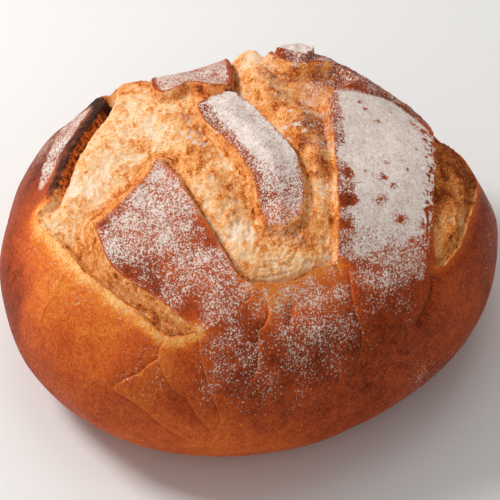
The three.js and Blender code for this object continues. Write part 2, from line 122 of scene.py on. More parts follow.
# (height, half width, line) of the long mounds of the crumb
crumbMounds = [
    (4.6, 15, [(-92, -22), (-82, 0), (-68, 30), (-62, 62), (-66, 92)]),
    (3.2, 11, [(-54, 34), (-38, 30), (-26, 10)]),
    (2.6, 9, [(-24, -6), (-12, -28), (-2, -52)]),
    (4.6, 9, [(2, 106), (4, 82), (7, 60), (20, 34), (30, 4)]),
    (2.2, 8, [(31, -6), (34, -30)]),
    (2.0, 12, [(8, -58), (30, -58)]),
    (3.0, 11, [(97, -30), (100, 0), (105, 40)]),
]

# (u, v, radius, height) of rounded lumps of the crumb
crumbLumps = [
    (-70, 12, 9, 0.9), (-58, 44, 10, 0.8), (-84, -14, 8, 0.7), (-40, 46, 8, 0.8), (-17, -14, 7, 1.0),
    (-9, -27, 5, 0.9), (5, 73, 7, 1.2), (12, 52, 8, 0.9), (33, 26, 6, -0.9), (26, 33, 6, 0.8),
    (37, -54, 5, 0.8), (100, -22, 8, 0.7),
]

# Broad swellings and hollows, then the shallow dents of the closed crust
swells = [
    (42, 100, 30, 6.6), (27, 98, 9, 1.6), (15, 107, 7, -2.5), (-3, 107, 10, 3.8), (-46, 98, 16, -3.8),
    (106, 61, 16, -5.6), (118, 38, 12, -1.5), (134, 12, 12, 1.2), (-104, 58, 14, 1.2), (-128, 33, 24, 2.2),
    (-141, -25, 28, 2.3), (-128, -89, 28, 1.7), (-83, -143, 28, 1.0), (57, -158, 28, 1.5),
    (113, -113, 28, -2.0), (140, -51, 28, -1.3),
]
dents = [(-68, -92, 10, -1.4), (20, -88, 6, -1.3), (97, -86, 10, -1.2)]

# The small plate of crust standing proud at the back
raisedPlate = {
    "height": 3.6,
    "sides": 1.7,  # width of its steep sides
    "line": [(13, 84), (18, 79.5), (24, 78), (30, 79), (33.5, 85), (34, 94), (28, 103), (17, 103), (13, 84)],
}

# (height, length, direction, start) of the gentle unevenness all over
unevenness = [
    (0.55, 61, (0.8, 0.6, 0), 0.6),
    (0.45, 47, (-0.6, 0.7, 0.4), 2.1),
    (0.35, 33, (0.3, -0.5, 0.81), 4.0),
]

# Fine cracks and creases of the closed crust: depth, half width, step from one side to the other, how
# light the broken line is (below 0 it is dark, painted shade in a deep groove), and the line
crustCracks = [
    (2.2, 2.2, 0.0, -0.9, [(91, -51), (92.5, -61), (91.5, -70), (89, -80)]),
    (0.4, 0.45, 0.5, 0.8,
     [(-39, -93), (-42, -97), (-43, -101), (-48, -103), (-53, -106), (-59, -107), (-66, -109)]),
    (0.4, 0.45, 0.4, 0.7,
     [(-66, -109), (-68, -111), (-66, -114), (-60, -119), (-55, -125), (-48, -136), (-34, -150)]),
    (0.3, 0.4, 0.3, 0.9,
     [(-24, -92), (-23, -97), (-23, -102), (-19, -120), (-15, -131), (-14.7, -138), (-18, -143)]),
    (0.4, 0.45, 0.4, 0.8,
     [(-43, -101), (-41, -109), (-39, -114), (-35, -120), (-31, -123), (-27, -132), (-20, -143)]),
    (-0.6, 1.2, 0.0, 0.4, [(-85, -50), (-91, -59), (-98, -65), (-102.5, -69.5)]),
    (0.4, 0.45, 0.6, 0.9,
     [(8, -79), (10, -86), (8, -92), (5, -95), (5, -103), (5, -110), (3, -116), (0, -116)]),
    (0.4, 0.45, 0.4, 0.5, [(49, -62), (49.5, -68), (52.6, -80), (58, -90.5), (60, -100), (59.5, -107)]),
    (0.3, 0.4, 0.2, 0.8, [(1, -73), (1, -77), (0, -80), (-3, -81)]),
    (1.5, 1.6, 0.0, -0.6, [(20.5, -82), (20.5, -88), (20, -93)]),
    (0.5, 0.5, 0.3, -0.5, [(66, -120.5), (72.6, -114)]),
    (0.4, 0.45, 0.3, 0.4, [(62, -136), (70.5, -133), (72.6, -128)]),
    (0.3, 0.45, 0.2, 0.6, [(80, -102), (85, -99), (96, -99)]),
    (0.3, 0.4, 0.2, 0.7, [(-14.7, -138), (-4.7, -139), (0, -150)]),
    (0.3, 0.4, 0.2, 0.6, [(-87, -109), (-80, -106), (-74, -106), (-68, -111)]),
    (0.3, 0.4, 0.2, 0.5, [(1, -119), (10.5, -126), (6, -133), (2, -136)]),
    (0.9, 0.8, 0.0, -0.5, [(42, -60), (45, -66)]),
    (0.3, 0.45, 0.2, 0.7, [(-102, 15), (-104, 10), (-105, 5), (-107, 0)]),
    (0.4, 0.45, 0.4, 0.6, [(-62, 118), (-66, 126), (-63, 136), (-68, 147), (-66, 156)]),
    (0.3, 0.4, 0.3, 0.7, [(-4, 131), (-8, 139), (-4, 148), (-7, 158), (-2, 166)]),
    (0.4, 0.45, 0.3, 0.5, [(58, 118), (66, 124), (69, 134), (78, 141)]),
    (0.3, 0.4, 0.2, 0.6, [(-66, 126), (-78, 128), (-86, 124)]),
    (0.3, 0.45, 0.3, 0.5, [(118, 66), (126, 70), (131, 80), (141, 84)]),
    (0.3, 0.4, 0.3, 0.6, [(128, -30), (136, -36), (138, -46), (147, -54)]),
    (0.4, 0.45, 0.3, 0.6, [(-128, 8), (-138, 4), (-144, -6), (-155, -8)]),
]


def smooth(x):
    t = np.clip(x, 0, 1)
    return t * t * (3 - 2 * t)


def bump(distance, reach):
    return np.exp(-((distance / reach) ** 2))


def blend(first, second, share):
    return first * (1 - share) + second * share


def turned(angle):
    return np.stack([np.cos(angle), np.sin(angle)], -1)


def leftOf(heading):
    return np.stack([-heading[:, 1], heading[:, 0]], -1)


# ---- the smooth dome
def profileTable(steps):
    form = loafForm
    turn = np.linspace(0, math.pi / 2, steps + 1)
    power = 2 / form["shoulderPower"]
    upperRadius = np.sin(turn) ** power
    upperLevel = form["widestShare"] + (1 - form["widestShare"]) * np.maximum(np.cos(turn), 0) ** power
    lowerRadius = form["footShare"] + (1 - form["footShare"]) * np.cos(turn[1:])
    lowerLevel = form["widestShare"] * (1 - np.sin(turn[1:]))
    radius = np.concatenate([upperRadius, lowerRadius])
    level = np.concatenate([upperLevel, lowerLevel])
    pieces = np.hypot(np.diff(radius) * form["meanRadius"], np.diff(level) * form["domeHeight"])
    return np.concatenate([[0], np.cumsum(pieces)]), radius, level


profileWalked, profileRadius, profileLevel = profileTable(900)
walkToFoot = profileWalked[-1]
# the flat map keeps shapes true, so that joining its places gives well-shaped triangles
profileFlat = profileWalked.copy()
growth = np.diff(profileWalked[1:]) * 2 / (profileRadius[1:-1] + profileRadius[2:]) / loafForm["meanRadius"]
profileFlat[2:] = profileFlat[1] * np.exp(np.cumsum(growth))


def domePoints(uv):
    angle, walked = np.arctan2(uv[:, 1], uv[:, 0]), np.hypot(uv[:, 0], uv[:, 1])
    plan = loafForm["meanRadius"] + sum(
        along * np.cos(times * angle) + across * np.sin(times * angle)
        for times, along, across in loafForm["planWaves"])
    out = np.interp(walked, profileWalked, profileRadius) * plan
    level = np.interp(walked, profileWalked, profileLevel)
    lean = level[:, None] ** 1.5 * loafForm["topLean"]
    return np.column_stack([turned(angle) * out[:, None] + lean - loafForm["middle"],
                            level * loafForm["domeHeight"]])


def domeNormals(uv):
    alongU, alongV = (domePoints(uv + half) - domePoints(uv - half) for half in np.eye(2) / 2)
    normal = np.cross(alongU, alongV)
    return normal / np.linalg.norm(normal, axis=1, keepdims=True)


# Places moved in or out, from one measure of the way down the crust to another
def rewalked(places, fromTable, toTable):
    walked = np.maximum(np.hypot(places[:, 0], places[:, 1]), 1e-6)
    return places * (np.interp(walked, fromTable, toTable) / walked)[:, None]


# ---- lines drawn on the map
def smoothLine(places, spacing):
    points = np.array(places, float)
    last = len(points) - 1
    t = np.linspace(0, last, last * 40 + 1)
    i = np.minimum(t.astype(int), last - 1)
    w = (t - i)[:, None]
    before, here = points[np.maximum(i - 1, 0)], points[i]
    ahead, after = points[np.minimum(i + 1, last)], points[np.minimum(i + 2, last)]
    leave, arrive = (ahead - before) / 2, (after - here) / 2
    fine = ((2 * here - 2 * ahead + leave + arrive) * w ** 3
            + (-3 * here + 3 * ahead - 2 * leave - arrive) * w ** 2 + leave * w + here)
    walked = np.concatenate([[0], np.cumsum(np.linalg.norm(np.diff(fine, axis=0), axis=1))])
    even = np.linspace(0, walked[-1], max(2, round(walked[-1] / spacing)) + 1)
    return np.stack([np.interp(even, walked, fine[:, k]) for k in (0, 1)], -1)


# How far each place is from the line, how far along it the nearest spot is (0 to 1), and the line's
# direction there. Places further than reach from the line get a large distance.
def nearestOn(curve, uv, reach=30.0):
    distance, along = np.full(len(uv), 999.0), np.zeros(len(uv))
    heading = np.tile((1.0, 0.0), (len(uv), 1))
    near = np.flatnonzero(((uv > curve.min(0) - reach) & (uv < curve.max(0) + reach)).all(1))
    if not len(near):
        return distance, along, heading
    close = uv[near]
    best, bestAlong, bestPiece = distance[near], along[near], np.zeros(len(near), int)
    for i, (start, end) in enumerate(zip(curve[:-1], curve[1:])):
        step = end - start
        share = np.clip(((close - start) @ step) / (step @ step), 0, 1)
        gone = np.hypot(close[:, 0] - start[0] - share * step[0], close[:, 1] - start[1] - share * step[1])
        nearer = gone < best
        best[nearer] = gone[nearer]
        bestAlong[nearer] = (i + share[nearer]) / (len(curve) - 1)
        bestPiece[nearer] = i
    steps = np.diff(curve, axis=0)
    steps /= np.linalg.norm(steps, axis=1, keepdims=True)
    distance[near], along[near], heading[near] = best, bestAlong, steps[bestPiece]
    return distance, along, heading


def isInside(outline, uv):
    inside = np.zeros(len(uv), bool)
    for a, b in zip(outline, np.roll(outline, 1, axis=0)):
        crossed = (a[1] > uv[:, 1]) != (b[1] > uv[:, 1])
        if a[1] != b[1]:
            inside ^= crossed & (uv[:, 0] < (b[0] - a[0]) * (uv[:, 1] - a[1]) / (b[1] - a[1]) + a[0])
    return inside


curveSpacing = 2.2
for sides, towards in ((tornField, 1), (island, -1), (sideOpening, -1)):
    for side in sides:
        side["curve"] = smoothLine(side["line"], curveSpacing)
        side["towards"] = towards  # the torn crumb is at the left of the line, or at its right
allSides = tornField + island + sideOpening
outlines = {name: np.concatenate([side["curve"][:-1] for side in sides])
            for name, sides in (("torn", tornField), ("island", island), ("opening", sideOpening))}


def isTorn(uv):
    inField = isInside(outlines["torn"], uv) & ~isInside(outlines["island"], uv)
    return inField | isInside(outlines["opening"], uv)


# the value that an edge has part way along it
def partWay(side, key, along):
    start, end = side[key]
    return start + (end - start) * along


# ---- natural unevenness: smooth noise with a fixed seed
def patchNoise(points, length, seed):
    rng = np.random.default_rng(seed)
    order = rng.permutation(256)
    slopes = rng.normal(size=(256, 3))
    slopes /= np.linalg.norm(slopes, axis=1, keepdims=True)
    cell = points / length + 31.7
    base = np.floor(cell).astype(int)
    inner = cell - base
    fade = inner ** 3 * (inner * (inner * 6 - 15) + 10)
    total = np.zeros(len(points))
    for corner in itertools.product((0, 1), repeat=3):
        at = (base + corner) & 255
        pick = order[(order[(order[at[:, 0]] + at[:, 1]) & 255] + at[:, 2]) & 255]
        weight = np.prod(np.where(corner, fade, 1 - fade), axis=1)
        total += weight * ((inner - corner) * slopes[pick]).sum(1)
    return total * 1.7


def cloud(points, length, layers, seed, keep=0.5):
    sizes = [keep ** i for i in range(layers)]
    total = sum(size * patchNoise(points, length / 2 ** i, seed + i) for i, size in enumerate(sizes))
    return total / math.sqrt(sum(size ** 2 for size in sizes))


def onPlane(uv):
    return np.column_stack([uv, np.zeros(len(uv))])


# ---- places for the surface points
meshing = {
    "mostPlaces": 92500,
    "crumbSpacing": 0.8,
    "crustSpacing": 0.92,
    "widening": 0.011,  # for each mm away from the edges, up to edgeReach
    "edgeReach": 60,
    "lowDown": (135, 60, 0.9),  # from how far down, over what length, and how much wider
    "behind": (70, 60, 0.7),
    "rowSpacing": 0.75,
    "crustRows": (0.4, 0.95),  # rows behind each edge
    "wallRows": (0.2, 0.45, 0.72, 1.0),  # rows down a narrow torn wall, as shares of its width
    "narrowWall": 3.2,
    "crackRows": (0.35, 0.85),
    "footSpacing": 2.2,
    "underSpacing": 4.0,
    "layerGrowth": 1.2,  # each layer of places is this much coarser than the one before
    "evening": 0.65,  # how far a place moves to the middle of its neighbours
    "clearOfRows": (0.35, 1.35, 0.4),  # how far the other places keep from walls, edges and cracks
}
placeArea = 0.866  # what one place takes up, against its spacing squared


def wantedSpacing(uv):
    reach = meshing["edgeReach"]
    toEdge = np.minimum(np.min([nearestOn(side["curve"], uv, reach)[0] for side in allSides], axis=0), reach)
    extra = [more * smooth((measure - start) / length) for measure, (start, length, more) in (
        (np.hypot(uv[:, 0], uv[:, 1]), meshing["lowDown"]), (uv[:, 1], meshing["behind"]))]
    crust = meshing["crustSpacing"] + meshing["widening"] * toEdge + extra[0]
    return np.where(isTorn(uv), meshing["crumbSpacing"], crust) + extra[1]


def narrowWall(side, along):
    return np.minimum(partWay(side, "flank", along), meshing["narrowWall"])


def rowPlaces():
    places, joins, count = [], [], 0

    def addRow(row, joined=False):
        nonlocal count
        places.append(row)
        if joined:
            joins.extend((count + i, count + i + 1) for i in range(len(row) - 1))
        count += len(row)

    def beside(curve, off):
        heading = np.gradient(curve, axis=0)
        heading /= np.linalg.norm(heading, axis=1, keepdims=True)
        return curve + leftOf(heading) * off

    spacing = meshing["rowSpacing"]
    for side in allSides:
        crest = smoothLine(side["line"], spacing)
        addRow(crest, True)
        narrow = narrowWall(side, np.linspace(0, 1, len(crest))[:, None])
        across = beside(crest, 1.0) - crest
        for share in meshing["wallRows"]:
            addRow(crest + across * side["towards"] * narrow * share)
        for off in meshing["crustRows"]:
            addRow(crest - across * side["towards"] * off)
    for _, width, _, _, line in crustCracks:
        middle = smoothLine(line, spacing)
        addRow(middle, True)
        for off, way in itertools.product(meshing["crackRows"], (-1, 1)):
            addRow(beside(middle, way * off * max(1.0, width)))
    plate = smoothLine(raisedPlate["line"], spacing)
    for share in (0, 0.5, 1.0):
        addRow(beside(plate, share * raisedPlate["sides"])[:-1])
    around = round(2 * math.pi * loafForm["meanRadius"] * loafForm["footShare"] / meshing["footSpacing"])
    joins.extend((count + i, count + (i + 1) % around) for i in range(around))
    addRow(turned(np.linspace(0, 2 * math.pi, around, endpoint=False)) * walkToFoot)
    return np.concatenate(places), joins


# Places of a spiral that never line up: the direction of each, and its share of the area inside it
def spiral(count):
    i = np.arange(count)
    return turned(i * math.pi * (3 - math.sqrt(5))), (i + 0.5) / count


# Even places over the whole crust, along a spiral
def spiralPlaces(spacing):
    between = np.diff(profileWalked)
    rings = between * math.pi * (profileRadius[:-1] + profileRadius[1:]) * loafForm["meanRadius"]
    area = np.concatenate([[0], np.cumsum(rings)])
    ways, share = spiral(int(area[-1] / (placeArea * spacing ** 2)))
    walked = np.interp(share * area[-1], area, profileWalked)
    return ways * walked[:, None], area[-1]


def fillPlaces(most):
    check, area = spiralPlaces(2.6)
    needed = (area / len(check) / (placeArea * wantedSpacing(check) ** 2)).sum()
    scale = math.sqrt(needed / most)
    reach, step = 212, 2.0  # a table of the wanted spacing, over the whole map
    grid = np.arange(-reach, reach + 1, step)
    table = wantedSpacing(np.array(list(itertools.product(grid, grid)))).reshape(len(grid), -1) * scale
    spacing, kept = 0.75 * scale, []
    while spacing < table.max():
        places, _ = spiralPlaces(spacing)
        cell = np.round((places + reach) / step).astype(int).clip(0, len(grid) - 1)
        here = table[cell[:, 0], cell[:, 1]]
        coarser = spacing * meshing["layerGrowth"]
        kept.append(places[(here >= spacing) & (here < coarser)])
        spacing = coarser
    places = np.concatenate(kept)
    clear = np.hypot(places[:, 0], places[:, 1]) < walkToFoot - meshing["footSpacing"] * 0.7
    offWall, offEdge, offCrack = meshing["clearOfRows"]
    torn = isTorn(places)
    for side in allSides:
        distance, along, _ = nearestOn(side["curve"], places, 6)
        clear &= distance > np.where(torn, narrowWall(side, along) + offWall, offEdge)
    for _, width, _, _, line in crustCracks:
        lastRow = meshing["crackRows"][-1] * max(1.0, width)
        clear &= nearestOn(smoothLine(line, 1.5), places, 6)[0] > lastRow + offCrack
    return places[clear]


def joinPlaces(flat, joins):
    points = [Vector(place) for place in flat.tolist()]
    found, _, faces, origins, _, _ = delaunay_2d_cdt(points, joins, [], 0, 1e-6, True)
    return np.array([tuple(place) for place in found]), np.array(faces), origins


# The places are joined once, evened out, and joined again
def surfacePlaces():
    rows, joins = rowPlaces()
    fill = fillPlaces(meshing["mostPlaces"] - len(rows))
    print("rows", len(rows), "fill", len(fill))
    flat = rewalked(np.concatenate([rows, fill]), profileWalked, profileFlat)
    found, faces, origins = joinPlaces(flat, joins)
    total, times = np.zeros_like(found), np.zeros(len(found))
    for start, end in ((0, 1), (1, 0), (1, 2), (2, 1), (2, 0), (0, 2)):
        np.add.at(total, faces[:, start], found[faces[:, end]])
        np.add.at(times, faces[:, start], 1)
    middle = total / times[:, None]
    evening = meshing["evening"]
    for i, origin in enumerate(origins):
        if origin and origin[0] >= len(rows):
            flat[origin[0]] = found[i] * (1 - evening) + middle[i] * evening
    found, faces, _ = joinPlaces(flat, joins)
    return rewalked(found, profileFlat, profileWalked), faces


allPlaces, topFaces = surfacePlaces()
print("surface places", len(allPlaces), "faces", len(topFaces))


# ---- what each place is: which edges it is near, crust or crumb
def readSide(side):
    distance, along, heading = nearestOn(side["curve"], allPlaces)
    values = {key: partWay(side, key, along) for key in ("lift", "flank", "gap")}
    return {**side, **values, "distance": distance, "along": along, "heading": heading,
            "length": len(side["curve"]) * curveSpacing}


seen = [readSide(side) for side in allSides]
edgeDistance = np.min([side["distance"] for side in seen], axis=0)
# crest places lie right on the edge, and belong to the crust
torn = isTorn(allPlaces) & (edgeDistance >= 0.05)
onIsland = isInside(outlines["island"], allPlaces)
dome = domePoints(allPlaces)
u, v = allPlaces[:, 0], allPlaces[:, 1]
walked = np.hypot(u, v)
clearOfFoot = smooth((walkToFoot - walked) / loafForm["footFade"])
print("places read")


def edgeNamed(name):
    return next(side for side in seen if side["name"] == name)


# noise on the loaf's surface, stretched by some ratios if need be
def uneven(length, seed, layers=1, by=1):
    return cloud(dome * by, length, layers, seed)


def spot(x, y, radius):
    return bump(np.hypot(u - x, v - y), radius)


def spots(entries):
    return sum(height * spot(x, y, radius) for x, y, radius, height in entries)


# 1 or -1: at which side of the line each place lies
def sideOf(curve, along, heading):
    share = np.linspace(0, 1, len(curve))
    off = allPlaces - np.stack([np.interp(along, share, curve[:, k]) for k in (0, 1)], -1)
    return np.sign((off * leftOf(heading)).sum(1))


def fadedEnds(along, rate, start=0.0):
    return smooth(np.minimum(along, 1 - along) * rate + start)


# ---- relief of the crust
def crustHeights():
    lifted = sum((side["lift"] * np.maximum(0, 1 - side["distance"] / loafForm["liftReach"]) ** 2) ** 4
                 for side in seen)
    toEdge = np.min([side["distance"] for side in seen if side["name"].startswith("island")], axis=0)
    swell = loafForm["islandSwell"] * smooth(toEdge / loafForm["islandSwellReach"])
    return lifted ** 0.25 + np.where(onIsland, swell, 0)


cracking = {
    "step": (0.5, 4.5),  # share of the step and how far it reaches, mm
    "tone": (0.16, 7),  # the lower side is painted darker, as shade
    "groove": (0.38, 0.3),  # half width of the line's own colour, and the softness of the step
}


# Cracks: a groove, and one side a little higher than the other close to the line.
# The lower side is painted darker as shade.
def crackRelief():
    stepShare, stepReach = cracking["step"]
    toneShare, toneReach = cracking["tone"]
    lineWidth, stepSoft = cracking["groove"]
    height, light, shadeStep = np.zeros(len(u)), np.zeros(len(u)), np.zeros(len(u))
    for depth, width, step, tone, line in crustCracks:
        curve = smoothLine(line, 1.0)
        distance, along, heading = nearestOn(curve, allPlaces, 14)
        side, ends = sideOf(curve, along, heading), fadedEnds(along, 9, 0.25)
        height -= depth * bump(distance, width) * ends
        lift = step * stepShare * side * np.exp(-distance / stepReach)
        height += lift * smooth(distance / stepSoft) * ends
        shadeStep += toneShare * step * side * np.exp(-distance / toneReach) * ends
        strength = np.abs(tone) * (1 - smooth(distance / (lineWidth * max(1.0, width))))
        strength = strength * (0.3 + 0.6 * ends)
        # pale lines are the crust's own colour, dark ones are painted shade in the groove
        light = np.where(strength > np.abs(light), np.sign(tone) * strength, light)
    return height, light, shadeStep


# (length, height) of the closed crust's slight leathery unevenness and small blisters
crustForm = {"leather": (14, 0.16), "pores": (3.4, 0.05), "blisters": (5.2, 0.9), "blistersAbove": 0.62}


def crustGrain():
    (leather, leatherHeight), (pores, poreHeight) = crustForm["leather"], crustForm["pores"]
    blister, blisterHeight = crustForm["blisters"]
    blisters = np.maximum(uneven(blister, 321) - crustForm["blistersAbove"], 0) * blisterHeight
    return uneven(leather, 301, 3) * leatherHeight + uneven(pores, 311, 2) * poreHeight + blisters


# ---- relief of the torn crumb
crumbForm = {
    "lumps": (12, 1.3),  # length and height, mm
    "knots": (6.0, 0.75),
    "grain": (2.7, 0.4),
    "dust": (1.6, 0.2),
    "drawn": (1.15, 0.72, 1.0),  # the crumb is pulled out from back to front
    "ledges": 0.9,  # height of the torn layers
    "layers": 3.4,  # how closely the torn layers follow each other
    "streaks": 0.38,  # height of the streaks down the walls
    "streakSize": (9, 1.25),  # length down the wall and width along it, mm
    "wrinkles": (0.22, 2.5),
    "wrinkleCentre": (9, -47),
    "stretchedEnd": (14, -60, 18),  # the low end of the field, smoother than the rest
}


def crumbHeights():
    mounds = sum((height * bump(nearestOn(smoothLine(line, curveSpacing), allPlaces, 50)[0], width)) ** 2
                 for height, width, line in crumbMounds)
    gap = np.max([side["gap"] * bump(side["distance"], side["reach"]) for side in seen], axis=0)
    return loafForm["openingFloor"] + np.sqrt(mounds) + spots(crumbLumps) - gap


# Streaks run along the torn walls, where the crust was drawn apart
def wallStreaks():
    total, weight = np.zeros(len(u)), np.zeros(len(u))
    length, width = crumbForm["streakSize"]
    for i, side in enumerate(seen):
        place = np.column_stack([side["along"] * side["length"] / length, side["distance"] / width,
                                 np.full(len(u), i * 7.0)])
        wave = patchNoise(place, 1.0, 451) + 0.5 * patchNoise(place * (2.1, 2.0, 1), 1.0, 452)
        beyond = side["distance"] - side["flank"]
        part = np.where(side["distance"] < side["flank"] + 3, 1 - smooth(beyond / 3), 0)
        total = np.where(part > weight, wave, total)
        weight = np.maximum(weight, part)
    return total, weight


# Curved wrinkles where the crumb was stretched at the low end of the field
def wrinkles():
    x, y = crumbForm["wrinkleCentre"]
    height, length = crumbForm["wrinkles"]
    wave = np.sin(2 * math.pi * (np.hypot(u - x, v - y) + 1.6 * uneven(8, 461)) / length)
    return height * (wave * spot(15, -63, 13))


def crumbGrain():
    def size(name, seed, by=1, layers=1):
        length, height = crumbForm[name]
        return height * uneven(length, seed, layers, by)

    drawn = crumbForm["drawn"]
    knotLength, knotHeight = crumbForm["knots"]
    knots = knotHeight * (0.55 - 2 * np.abs(uneven(knotLength, 411, by=drawn)))
    layers = uneven(15, 441, 3, drawn) * crumbForm["layers"]
    part = layers - np.floor(layers)
    ledges = crumbForm["ledges"] * (smooth((part - 0.62) / 0.3) - part)
    quiet = 1 - 0.75 * spot(*crumbForm["stretchedEnd"])
    calm = 0.35 + 0.65 * smooth(0.5 + 1.6 * uneven(21, 455))
    grain = size("grain", 421)
    folds = (size("lumps", 401, drawn, 2) * 0.55 + (knots + ledges) * (0.5 + 0.5 * calm)) * quiet
    return folds, grain, folds + (grain + size("dust", 431)) * calm + wrinkles()


crust = crustHeights()
cracks, crackToneAndShade, shadeStep = crackRelief()
crumb = crumbHeights()
folds, grain, roughCrumb = crumbGrain()
streaks, streakWeight = wallStreaks()
roughCrumb += crumbForm["streaks"] * streaks * streakWeight


# The small plate stands proud, and its top is uneven
def plateHeight():
    line = smoothLine(raisedPlate["line"], 1.0)
    distance = nearestOn(line, allPlaces, 20)[0] + 1.3 * uneven(5, 477)
    rise = np.where(isInside(line[:-1], allPlaces), smooth(distance / raisedPlate["sides"]), 0)
    return (raisedPlate["height"] + 0.8 * uneven(4, 479)) * rise


# (u, v, radius, strength): the crust behind the strip is cracked all over
crackedCrust = [(52, 86, 11, 0.9), (66, 76, 10, 0.9), (78, 68, 9, 0.9), (88, 61, 7, 0.9), (97, 52, 6, 0.8)]
cracked = smooth(spots(crackedCrust))
crazed = cracked * bump(uneven(5.5, 771, by=(0.7, 1.4, 1.0)), 0.2)
charred = bump(edgeNamed("burntLip")["distance"], 4.5) * (0.4 * uneven(2.0, 475) + 0.35 * uneven(3.8, 476))
broken = bump(np.hypot(u - 39, (v - 88) * 0.8), 9) * (0.9 + 1.1 * uneven(3.6, 478))
broken += cracked * 0.8 * uneven(3.4, 773) - 0.7 * crazed
crustSide = crust + cracks + spots(dents) + crustGrain() + charred + plateHeight() + broken
# grain dies away right at the edges, so that the crest stays one clean line
tornSide = crumb + roughCrumb * (0.3 + 0.7 * smooth(edgeDistance / 1.2))
wall = np.max([1 - smooth(side["distance"] / side["flank"]) for side in seen], axis=0)
height = np.where(torn, tornSide + (crustSide - tornSide) * wall, crustSide)

# The torn crumb breaks off in a ragged ledge beside the burnt lip's deep crevice
crevice = {
    "line": [(-74, 74), (-71, 63), (-70, 51), (-72, 40), (-74.5, 31), (-78, 23.5), (-81, 14), (-83, 5),
             (-86.5, 0), (-90, -5), (-93.4, -9)],
    "reach": 19,
    "ledge": 1.5,  # how high the ledge stands and how deep the crevice goes beside it, mm
    "depth": 1.3,
    "sides": 0.9,
    "fade": 4.0,
}
creviceEdge = smoothLine(crevice["line"], 0.6)
distance, along, heading = nearestOn(creviceEdge, allPlaces, 20)
jag = 1.5 * uneven(4.5, 471) + 0.9 * uneven(2.1, 472)
ledgeSide = distance * sideOf(creviceEdge, along, heading) + jag
besideLip = torn & (distance < crevice["reach"])
inCrevice = np.where(besideLip, smooth(0.5 - ledgeSide / crevice["sides"]), 0)
ledgeEnds = fadedEnds(along, 8, 0.1)
ledgeFade = np.exp(-np.abs(ledgeSide) / crevice["fade"]) * ledgeEnds
ledge = crevice["ledge"] * (1 - inCrevice) - crevice["depth"] * inCrevice
height += np.where(besideLip, ledge * ledgeFade, 0)
inCrevice *= ledgeEnds

wavy = sum(size * np.sin(dome @ np.array(way) * 2 * math.pi / length + start)
           for size, length, way, start in unevenness)
height = (height + spots(swells) + wavy) * clearOfFoot
print("relief done")


# ---- edges wander a little and curl over the crumb
def sideways():
    shift, loose = np.zeros((len(u), 2)), np.zeros(len(u))
    for side in seen:
        distance = side["distance"]
        onWall, onCrust, nearby = (
            np.maximum(0, 1 - distance / reach) ** 2 for reach in (side["flank"], 7, 9))
        curl = side["curl"] * np.where(torn, onWall, onCrust) * fadedEnds(side["along"], 8)
        shift += leftOf(side["heading"]) * side["towards"] * curl[:, None]
        loose = np.maximum(loose, side["ragged"] * nearby)
    flat = onPlane(allPlaces)
    wander = np.stack([patchNoise(flat, 7.5, seed) + 0.55 * patchNoise(flat, 3.1, seed + 1)
                       for seed in (481, 491)], -1)
    return shift + wander * (loose * 1.3)[:, None]


moved = allPlaces + sideways()
surface = domePoints(moved) + domeNormals(moved) * height[:, None]
footRing = np.abs(walked - walkToFoot) < 1e-3
surface[footRing] = dome[footRing]
surface[:, 2] = np.maximum(surface[:, 2], 0)
surface[footRing, 2] = 0
print("surface shaped")


# ---- underside: new places inside the ring of the foot, joined with it
def underside(ring):
    middle = ring.mean(0)
    reach = np.hypot(*(ring - middle).T).max()
    ways, share = spiral(int((reach / meshing["underSpacing"]) ** 2 * math.pi / placeArea))
    inner = middle + ways * (reach * np.sqrt(share))[:, None]
    inner = inner[isInside(middle + (ring - middle) * 0.965, inner)]
    loop = [(k, (k + 1) % len(ring)) for k in range(len(ring))]
    found, faces, origins = joinPlaces(np.concatenate([ring, inner]), loop)
    ringOf = np.array([origin[0] if origin and origin[0] < len(ring) else -1 for origin in origins])
    return found, faces, ringOf


ringIndex = np.flatnonzero(footRing)
ringIndex = ringIndex[np.argsort(np.arctan2(v[ringIndex], u[ringIndex]))]
underPlaces, underFaces, ringOf = underside(surface[ringIndex, :2])
isNew = ringOf < 0
underIndex = np.where(isNew, len(surface) + np.cumsum(isNew) - 1, ringIndex[ringOf])
extra = underPlaces[isNew]
extraHeight = np.maximum(cloud(onPlane(extra), 22, 3, 501) * 0.35 - 0.05, 0)
allPoints = np.concatenate([surface, np.column_stack([extra, extraHeight])])
allFaces = np.concatenate([topFaces, underIndex[underFaces][:, ::-1]])


# ---- baking, toasting and flour, place by place
def fadeTo(start, entries):
    total, weight = start * 0.12, 0.12
    for x, y, radius, value in entries:
        part = spot(x, y, radius)
        total = total + part * value
        weight = weight + part
    return total / weight
